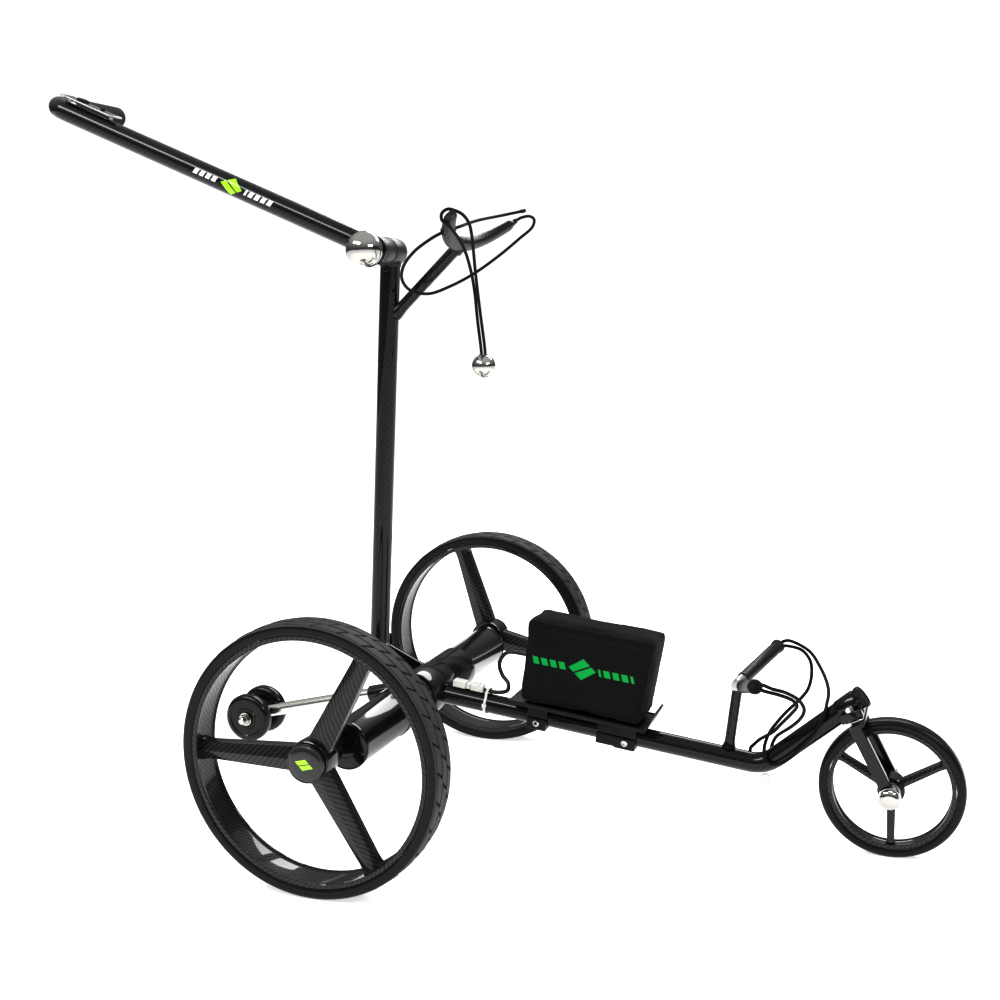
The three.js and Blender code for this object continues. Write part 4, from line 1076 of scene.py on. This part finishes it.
def fillBag(obj):
    # cloth under pressure, then each point's move is cut to the cap
    start = obj.data.copy()
    cloth = obj.modifiers.new("fill", "CLOTH")
    cloth.settings.use_pressure = True
    cloth.settings.uniform_pressure_force = 4
    cloth.settings.tension_stiffness = 25
    cloth.settings.bending_stiffness = 3
    cloth.settings.effector_weights.gravity = 0
    cloth.point_cache.frame_start, cloth.point_cache.frame_end = 1, 20
    for n in range(1, 21):
        bpy.context.scene.frame_set(n)
    filled = obj.evaluated_get(bpy.context.evaluated_depsgraph_get()).to_mesh()
    n = len(start.vertices)
    p, q = np.zeros(n * 3), np.zeros(n * 3)
    start.vertices.foreach_get("co", p)
    filled.vertices.foreach_get("co", q)
    p, q = p.reshape(-1, 3), q.reshape(-1, 3)
    move = q - p
    size = np.linalg.norm(move, axis=1, keepdims=True)
    move *= np.minimum(1, deck["swell"] * mm / np.maximum(size, 1e-9))
    obj.modifiers.remove(cloth)
    bpy.context.scene.frame_set(1)
    return start, p + move


def makeBag():
    x0, x1, half, z0, z1 = deck["bag"]
    g = bagStart()
    rough = Shell().grid(g).build("batteryPouch", "frame", finish["nylon"], ["battery_bag", "battery_pack"])
    remesh = rough.modifiers.new("even", "REMESH")
    remesh.mode, remesh.voxel_size = "VOXEL", 5 * mm
    even = bpy.data.meshes.new_from_object(rough.evaluated_get(bpy.context.evaluated_depsgraph_get()))
    rough.modifiers.remove(remesh)
    rough.data = even
    if not even.materials:
        even.materials.append(finish["nylon"])
    _, points = fillBag(rough)
    # long shallow folds, strongest half way up the sides, then everything kept inside the pouch's own box
    c, s = math.cos(math.radians(mainDown)), math.sin(math.radians(mainDown))
    base = place(mainRoot)
    d = points - base
    u, v, w = (d[:, 0] * c - d[:, 2] * s) / mm, d[:, 1] / mm, (d[:, 0] * s + d[:, 2] * c) / mm
    fold = 0.55 * np.sin(u / 9 + 1.3 * np.sin(w / 13)) * np.sin(w / 17 + 0.7) + 0.4 * np.sin(w / 7 + u / 31)
    v = v + np.sign(v) * fold * np.clip((np.abs(v) - 12) / 12, 0, 1)
    w = w + np.where(w > 100, 0.9 * np.sin(u / 12) * np.sin(v / 9), 0)
    w = np.where(w < z0 + 3, z0 + 0.6 + (w - z0 - 3) * 0.05, w)
    u = np.clip(u, x0 + 0.3, x1 - 0.3)
    v = np.clip(v, -half + 0.2, half - 0.2)
    w = np.clip(w, z0 + 0.4, z1 - 0.2)
    lean = deck["lean"] * np.clip((w - z0) / (z1 - z0), 0, 1)
    u = u + lean * np.clip((u - x0 - 40) / (x1 - x0 - 40), 0, 1)
    points = place(onDeck(np.stack([u, v, w], -1)))
    even.vertices.foreach_set("co", points.ravel())
    even.polygons.foreach_set("use_smooth", [True] * len(even.polygons))
    even.update()
    sub = rough.modifiers.new("soft", "SUBSURF")
    sub.levels = sub.render_levels = 1
    makePiping(even)


def makePiping(mesh):
    # corded edges that follow the pouch: the outline's points are dropped onto the cloth and lifted
    # by a radius
    x0, x1, half, z0, z1 = deck["bag"]
    tree = BVHTree.FromPolygons([v.co for v in mesh.vertices], [p.vertices for p in mesh.polygons])
    shell = Shell()
    outline = boxSection(x1 - x0 - 3, z1 - z0 - 4, 8, 10)
    outline = np.concatenate([outline, outline[:1]])
    for y in (-half + 3.4, half - 3.4):
        ring = np.stack([outline[:, 0] + (x0 + x1) / 2, np.full(len(outline), y),
                         outline[:, 1] + (z0 + z1) / 2], -1)
        ring[:, 0] += deck["lean"] * (ring[:, 2] - z0) / (z1 - z0) * (ring[:, 0] > (x0 + x1) / 2)
        ring = place(onDeck(evenly(ring, 2.5)[:-1]))
        found = np.array([tree.find_nearest(Vector(p))[0] for p in ring])
        path = (found - (axleX, 0, 0)) / mm
        middle = onDeck([(x0 + x1) / 2, 0, (z0 + z1) / 2])[0]
        path = path - (path - middle) / np.linalg.norm(path - middle, axis=1)[:, None] * 0.3
        along = np.roll(path, -1, 0) - np.roll(path, 1, 0)
        along /= np.linalg.norm(along, axis=1)[:, None]
        side = np.tile([0.0, 1, 0], (len(path), 1))
        side -= (side * along).sum(1)[:, None] * along
        side /= np.linalg.norm(side, axis=1)[:, None]
        up = np.cross(along, side)
        a = np.linspace(0, 2 * math.pi, 12, endpoint=False)
        turnA, turnB = np.cos(a)[None, :, None], np.sin(a)[None, :, None]
        bead = path[:, None] + 1.25 * (turnA * side[:, None] + turnB * up[:, None])
        shell.grid(bead, ring=True, caps=False, cell=1.3)
    piping = shell.build("pouchPiping", "frame", finish["piping"], sharp=60)


def makeDeck():
    along = onDeck([[1, 0, 0]])[0] - mainRoot
    tray = Shell()
    a, b = onDeck([[207, -33, 19], [207, 33, 19]])
    tray.grid(slab(a, b, 172, 3, 1, along))
    for y in (-31.6, 31.6):
        a, b = onDeck([[122, y, 20.2], [290, y, 20.2]])
        tray.grid(slab(a, b, 2.4, 3.6, 0.8, (0, 1, 0)))
    lean = math.radians(22)
    foot = np.array([291, 0, 17.5])
    tip = foot + np.array([19 * math.sin(lean), 0, 19 * math.cos(lean)])
    a, b = onDeck([foot, tip])
    tray.grid(slab(a, b, 66, 3, 1, (0, 1, 0), 0.9))
    tray.build("trayMoulded", "frame", finish["moulded"], ["battery_tray"])
    clamps = {"rear_tray_clamp": [(155.5, 25, 32, -14.5, 17.2)],
              "front_tray_clamp": [(267, 26, 32, -14.5, 17.2), (243, 24, 28, -14, 11.5)]}
    for node, blocks in clamps.items():
        shell = Shell()
        for x, long, wide, low, high in blocks:
            # an upper and a lower jaw that meet beside the tube, with a fine gap between them
            for a, b in ((low, -0.5), (0.5, high)):
                left, right = onDeck([[x, -wide / 2, (a + b) / 2], [x, wide / 2, (a + b) / 2]])
                shell.grid(slab(left, right, long, b - a, 1.3, along))
        shell.build(node + "Moulded", "frame", finish["moulded"], [node])
    screws = Shell()
    for x in (155.5, 267):
        at = onDeck([[x, -15.8, -6]])[0]
        screws.grid(lathe(at, (0, -1, 0), [(0, 4.2), (1.6, 4.2), (2.3, 3.5), (2.5, 2.2), (1.2, 2),
                                           (1.2, 0.5)], 28))
    screws.build("clampScrews", "frame", finish["chrome"])


def makeConnectors():
    lead = onDeck([[59.5, 0, 15.6]])[0]
    along = onDeck([[1, 0, 0]])[0] - mainRoot
    shell = Shell()
    for start, end, wide, tall, lift in ((-20, -3, 12.4, 8.6, 1.8), (-2.4, 3, 10.6, 7, 1.6),
                                         (3.6, 20, 12.4, 8.6, 1.8)):
        up = onDeck([[0, 0, lift]])[0] - mainRoot
        shell.grid(slab(lead + start * along + up, lead + end * along + up, wide, tall, 1.1, (0, 1, 0),
                        0.8))
    for start in (-17, -12, 7, 12):
        up = onDeck([[0, 0, 6.3]])[0] - mainRoot
        shell.grid(slab(lead + start * along + up, lead + (start + 2.4) * along + up, 8, 1.2, 0.5,
                        (0, 1, 0)))
    shell.build("leadPlugs", "frame", finish["white"], ["lead_connector"])
    centre = mainRoot + 86 * mainAlong
    up = onDeck([[0, 0, 1]])[0] - mainRoot
    a = np.linspace(0, 2 * math.pi, 60, endpoint=False)
    r = np.where(np.sin(a) > 0.72, 13.2 + 6.2 * ((np.sin(a) - 0.72) / 0.28) ** 0.6, 13.2)
    path = centre + r[:, None] * (np.cos(a)[:, None] * np.array([0, 1, 0]) + np.sin(a)[:, None] * up)
    radial = np.cos(a)[:, None] * np.array([0, 1, 0]) + np.sin(a)[:, None] * up
    section = boxSection(3.2, 1.3, 0.4, 3)
    band = path[:, None] + section[None, :, :1] * mainAlong + section[None, :, 1:] * radial[:, None]
    tie = Shell().grid(band, ring=True, caps=False)
    head = centre + 13.6 * np.array([0, -1, 0])
    tie.grid(slab(head - 2.6 * mainAlong, head + 2.6 * mainAlong, 3.4, 5, 0.7, (0, 1, 0)))
    tie.build("leadTie", "frame", finish["white"], ["cable_tie"])


makeDeck()
makeBag()
makeConnectors()
print("battery deck made")


# mast, hinge and upper cradle

def makeMast():
    foot = Shell().grid(lathe(pivot, mastUp, [(10, 11), (10.4, 12), (17.6, 12), (18, 11.6)], 48))
    foot.grid(lathe(pivot, [0, 1, 0], chamfered(24, 12, 0.8, -12), 48))
    foot.build("mastFootSatin", "mast", finish["satin"], ["mast_foot"])
    outline = [(18.3, 11.4), (18.9, 12)] + [(s, 12) for s in range(30, 486, 12)]
    outline = outline + [(487.8, 12), (488.4, 11.4)]
    tube = Shell().grid(lathe(pivot, mastUp, outline, 44), cell=2)
    tube.build("mastWeave", "mast", finish["tubeWeave"], ["mast_tube"])
    pin = Shell().grid(lathe(pivot, [0, 1, 0], chamfered(44, 6, 0.6, -22), 36))
    pin.grid(lathe(pivot, [0, 1, 0], [(-22, 4), (-22, 8.2), (-21.2, 9), (-19.4, 9), (-18.9, 8.4)], 6))
    pin.build("pivotPinBright", "frame", finish["chrome"], ["mast_pivot_pin"])
    lever = Shell().grid(lathe(pivot, [0, 1, 0], [(18.9, 8.6), (19.2, 9.3), (20, 9.5), (27, 9.5), (27.8, 9),
                                                  (28, 8)], 40))
    tip = pivot + (4, 0, 22)
    path = np.linspace(pivot + (0, 25.5, 0), tip + (0, 25.5, 0), 14)
    half = np.interp(np.arange(14), [0, 4, 11, 12, 13], [6.4, 5.2, 4.4, 3.8, 2.2])
    sections = np.stack([boxSection(4.6, 2 * h, 1.2) for h in half])
    run = unit(tip - pivot)
    over = np.cross(run, [0, 1, 0])
    lever.grid(path[:, None] + sections[..., :1] * np.array([0, 1, 0]) + sections[..., 1:] * over)
    lever.build("clampLeverMoulded", "mast_clamp", finish["moulded"], ["mast_clamp_lever"])
    knuckle = Shell().grid(lathe(hinge, [0, 1, 0], chamfered(29, 16.2, 1.4, -14.5), 64))
    knuckle.grid(lathe(onMast(18), mastUp, [(0, 12.6), (0.5, 13), (5, 13), (8, 12.4), (12, 11.6)], 48))
    knuckle.build("mastKnuckleGrey", "mast", finish["knuckle"], ["mast_knuckle"])
    screw = onMast(20) + np.array([0, -11.6, 0])
    Shell().grid(lathe(screw, [0, -1, 0], [(0, 4.4), (1.4, 4.4), (2, 3.8), (2, 2), (1, 1.8), (1, 0.5)],
                       28)).build("mastScrew", "mast", finish["moulded"])


def makeUpperCradle():
    weld = [(11.5, 8.2), (15, 8.6), (20, 7.9), (25, 7.2), (30, 7), (123.6, 7), (124.2, 6.2)]
    post = Shell().grid(lathe(postRoot, cradle["post"], weld, 40))
    post.build("upperPostWeave", "mast", finish["tubeWeave"], ["upper_post"])
    # the arms flatten and narrow outwards, and their ends round over
    t = np.linspace(-1, 1, 97)
    y = cradle["half"] * t
    path = cradlePoint(y)
    out = np.abs(t)
    end = np.clip((1 - out) / 0.05, 0, 1) ** 0.5
    wide = np.interp(out, [0, 0.18, 0.6, 0.85, 1], [9.2, 8.8, 8.2, 8.6, 8.0]) * np.maximum(end, 0.6)
    tall = np.interp(out, [0, 0.18, 0.6, 0.85, 1], [7.8, 7.4, 6.6, 5.6, 5.2]) * np.maximum(end, 0.6)
    a = np.linspace(0, 2 * math.pi, 32, endpoint=False)
    power = 0.86
    cx = np.sign(np.cos(a)) * np.abs(np.cos(a)) ** power
    cy = np.sign(np.sin(a)) * np.abs(np.sin(a)) ** power
    sections = np.stack([wide[:, None] * cx, tall[:, None] * cy], -1)
    arms = Shell().grid(sweep(path, sections, first=cradle["post"]))
    boss = postRoot + (cradle["length"] - 11.5) * cradle["post"]
    arms.grid(lathe(boss, cradle["post"], [(0, 8.2), (0.6, 8.9), (8, 8.9), (14, 7.4)], 40))
    eye = cradlePoint(-71.5)
    run = unit(np.array([24, 33, 12.9]))
    for sign in (-1, 1):
        arms.grid(lathe(eye, run * sign, [(5.2, 2.4), (7.2, 2.6), (8.2, 3.4), (8.2, 4.4), (7, 5),
                                          (3.5, 5.4)], 28))
    # a short neck carries the far arm's end to where the long cord comes out of it
    tip, out = cradlePoint(cradle["half"] - 3), np.array(cordRoutes["upper_cord"][0], float)
    reach = np.linalg.norm(out - tip)
    arms.grid(lathe(tip, (out - tip) / reach, [(0, 3.6), (reach - 0.8, 3.2), (reach + 0.6, 2.6),
                                               (reach + 0.8, 1.9)], 28))
    arms.build("upperArmsRubber", "mast", finish["rubber"], ["upper_cradle"])


def makeHandle():
    length, bend = 501, 28
    corner, end = [-length, handleY, 0], [-length, 107.9, 0]
    path = evenly(rounded([[-16.8, handleY, 0], corner, end], bend, 24), 5)
    tube = Shell().grid(sweep(onHandle(path), roundSection(12.5, 44)), cell=2)
    tube.build("handleTubeWeave", "handle", finish["handleWeave"], ["handle_tube"])
    knuckle = Shell().grid(lathe(hinge, [0, 1, 0], chamfered(32.2, 16.2, 1.4, -48.5), 64))
    knuckle.grid(lathe(hinge, [0, 1, 0], [(-16.3, 15), (-16.2, 16.6), (-15, 16.8), (-14.8, 16)], 64))
    back = onHandle([[-1, 0, 0]])[0] - hinge
    knuckle.grid(lathe(onHandle([[0, handleY, 0]])[0], back,
                       [(10, 13.4), (15.9, 13.4), (16.6, 12.9), (16.7, 12)], 48))
    knuckle.build("handleKnuckleGrey", "handle", finish["knuckle"], ["handle_knuckle"])
    washer = Shell().grid(lathe(hinge, [0, 1, 0],
                                [(-51.4, 6), (-51.4, 16.6), (-50.9, 17.3), (-49.3, 17.3), (-48.8, 16.6),
                                 (-48.8, 6)], 56))
    washer.build("hingeWasherBlack", "handle", finish["lacquer"], ["hinge_washer"])
    at = onHandle([[-length, 0, 0]])[0]
    ribs = np.linspace(8.3, 108, 84)
    ribbed = [(y, 13.55 + 0.45 * (y - 8) / 100 + 0.1 * math.sin(y * 1.1)) for y in ribs]
    outline = [(8, 12.7), (8.1, 13.4)] + ribbed + [(110.4, 13.6), (112.4, 12.4), (113.2, 10.6), (113.5, 7),
                                                   (113.5, 1)]
    grip = Shell().grid(lathe(at, [0, 1, 0], outline, 56))
    grip.build("handGripFoam", "handle", finish["grip"], ["hand_grip"])
    plate = 18.6
    along = onHandle([[1, 0, 0]])[0] - hinge
    up = onHandle([[0, 0, 1]])[0] - hinge
    panel = Shell()
    a, b = onHandle([[-440, handleY - 13, plate], [-440, handleY + 13, plate]])
    panel.grid(slab(a, b, 80, 2.4, 1.1, along, 1.1))
    for x in (-408, -475):
        low = onHandle([[x, handleY, 12.8]])[0]
        panel.grid(lathe(low, up, [(0, 3.6), (0.6, 3.6), (1, 3), (5.4, 3)], 28))
    panel.build("controlPanelSatin", "handle", finish["satin"], ["control_plate"])
    dialZ = plate + 1.2 + 0.3
    knurl = 8 - 0.22 * (np.arange(96) % 4 < 2)
    g = lathe(onHandle([[-455, handleY + 2, dialZ]])[0], up,
              [(0, 1), (0.3, 1), (2.2, 1), (2.6, 0.86), (2.6, 0.3), (2.3, 0.26), (2.3, 0.05)], 96)
    centre = onHandle([[-455, handleY + 2, dialZ]])[0]
    lift = ((g - centre) @ up)[..., None] * up
    g = centre + lift + (g - centre - lift) * knurl[None, :, None]
    dial = Shell().grid(g)
    dial.grid(lathe(onHandle([[-455, handleY + 2, 15]])[0], up, [(0, 1.8), (0.2, 2), (6, 2)], 20))
    dial.build("speedDialKnurled", "speed_dial", finish["moulded"], ["speed_dial"])
    press = onHandle([[-422, handleY, dialZ + 1.2]])[0]
    button = Shell().grid(lathe(press, up, [(0, 4), (0.2, 4.4), (0.9, 4.5), (1.3, 4.2), (1.55, 3.4),
                                            (1.45, 1.6), (1.4, 0.4)], 36))
    button.grid(lathe(onHandle([[-422, handleY, 16.2]])[0], up, [(0, 2.2), (0.2, 2.4), (5.2, 2.4)], 20))
    button.build("powerButtonCap", "power_button", finish["moulded"], ["power_button"])
    ball = Shell().grid(lathe(hinge + (0, -73.5, 0), [0, 1, 0], domed(21.6, 44), 64))
    ball.grid(lathe(hinge, [0, 1, 0], [(-53.4, 7.4), (-52.6, 7.6), (-51.8, 7.6), (-51.7, 6)], 36))
    ball.grid(lathe(hinge, [0, 1, 0], [(-56, 5), (8.4, 5), (9, 4.4)], 28))
    ball.build("ballKnobBright", "hinge_knob", finish["chrome"], ["ball_knob"])


makeMast()
makeUpperCradle()
makeHandle()
print("mast, cradle and handle made")


# floor, sky and lights

def makeStage():
    mesh = bpy.data.meshes.new("floor")
    mesh.from_pydata([(-14, -14, 0), (14, -14, 0), (14, 14, 0), (-14, 14, 0)], [], [(0, 1, 2, 3)])
    floorObj = bpy.data.objects.new("floor", mesh)
    bpy.context.scene.collection.objects.link(floorObj)
    paper = Finish("paper", Base_Color=(0.93, 0.93, 0.93, 1), Roughness=0.9, Specular_IOR_Level=0.05,
                   Emission_Color=(1, 1, 1, 1), Emission_Strength=0.67)
    mesh.materials.append(paper.material)
    world = bpy.data.worlds.new("studio")
    bpy.context.scene.world = world
    world.use_nodes = True
    nodes, links = world.node_tree.nodes, world.node_tree.links
    back = next(n for n in nodes if n.type == "BACKGROUND")
    coord = nodes.new("ShaderNodeTexCoord")
    split = nodes.new("ShaderNodeSeparateXYZ")
    ramp = nodes.new("ShaderNodeValToRGB")
    links.new(coord.outputs["Generated"], split.inputs[0])
    links.new(split.outputs[2], ramp.inputs[0])
    stops = ramp.color_ramp.elements
    stops[0].position, stops[0].color = 0.12, (0.16, 0.165, 0.175, 1)
    stops[1].position, stops[1].color = 0.8, (0.85, 0.85, 0.85, 1)
    seen = nodes.new("ShaderNodeLightPath")
    mix = nodes.new("ShaderNodeMix")
    mix.data_type = "RGBA"
    links.new(seen.outputs["Is Camera Ray"], mix.inputs[0])
    links.new(ramp.outputs[0], mix.inputs[6])
    mix.inputs[7].default_value = (1.1, 1.1, 1.1, 1)
    links.new(mix.outputs[2], back.inputs[0])
    back.inputs[1].default_value = 1.0
    # each lamp: where it stands, what it faces, its long side in metres and its watts
    lamps = {"keySoftbox": ((-900, -1500, 2000), (150, 0, 300), 1.8, 36),
             "fillSoftbox": ((1900, -900, 1500), (250, 0, 250), 1.2, 15),
             "rimSoftbox": ((300, 1900, 2000), (100, 0, 350), 2.0, 34)}
    for name, (spot, aim, size, power) in lamps.items():
        data = bpy.data.lights.new(name, "AREA")
        data.shape, data.size, data.size_y, data.energy = "RECTANGLE", size, size * 0.25, power
        lamp = bpy.data.objects.new(name, data)
        lamp.location = place(spot)
        lamp.rotation_euler = (Vector(place(aim)) - Vector(place(spot))).to_track_quat("-Z", "Y").to_euler()
        bpy.context.scene.collection.objects.link(lamp)
    bpy.context.scene.view_settings.view_transform = "Standard"
    bpy.context.scene.view_settings.gamma = 0.72


makeStage()
print("studio lit")
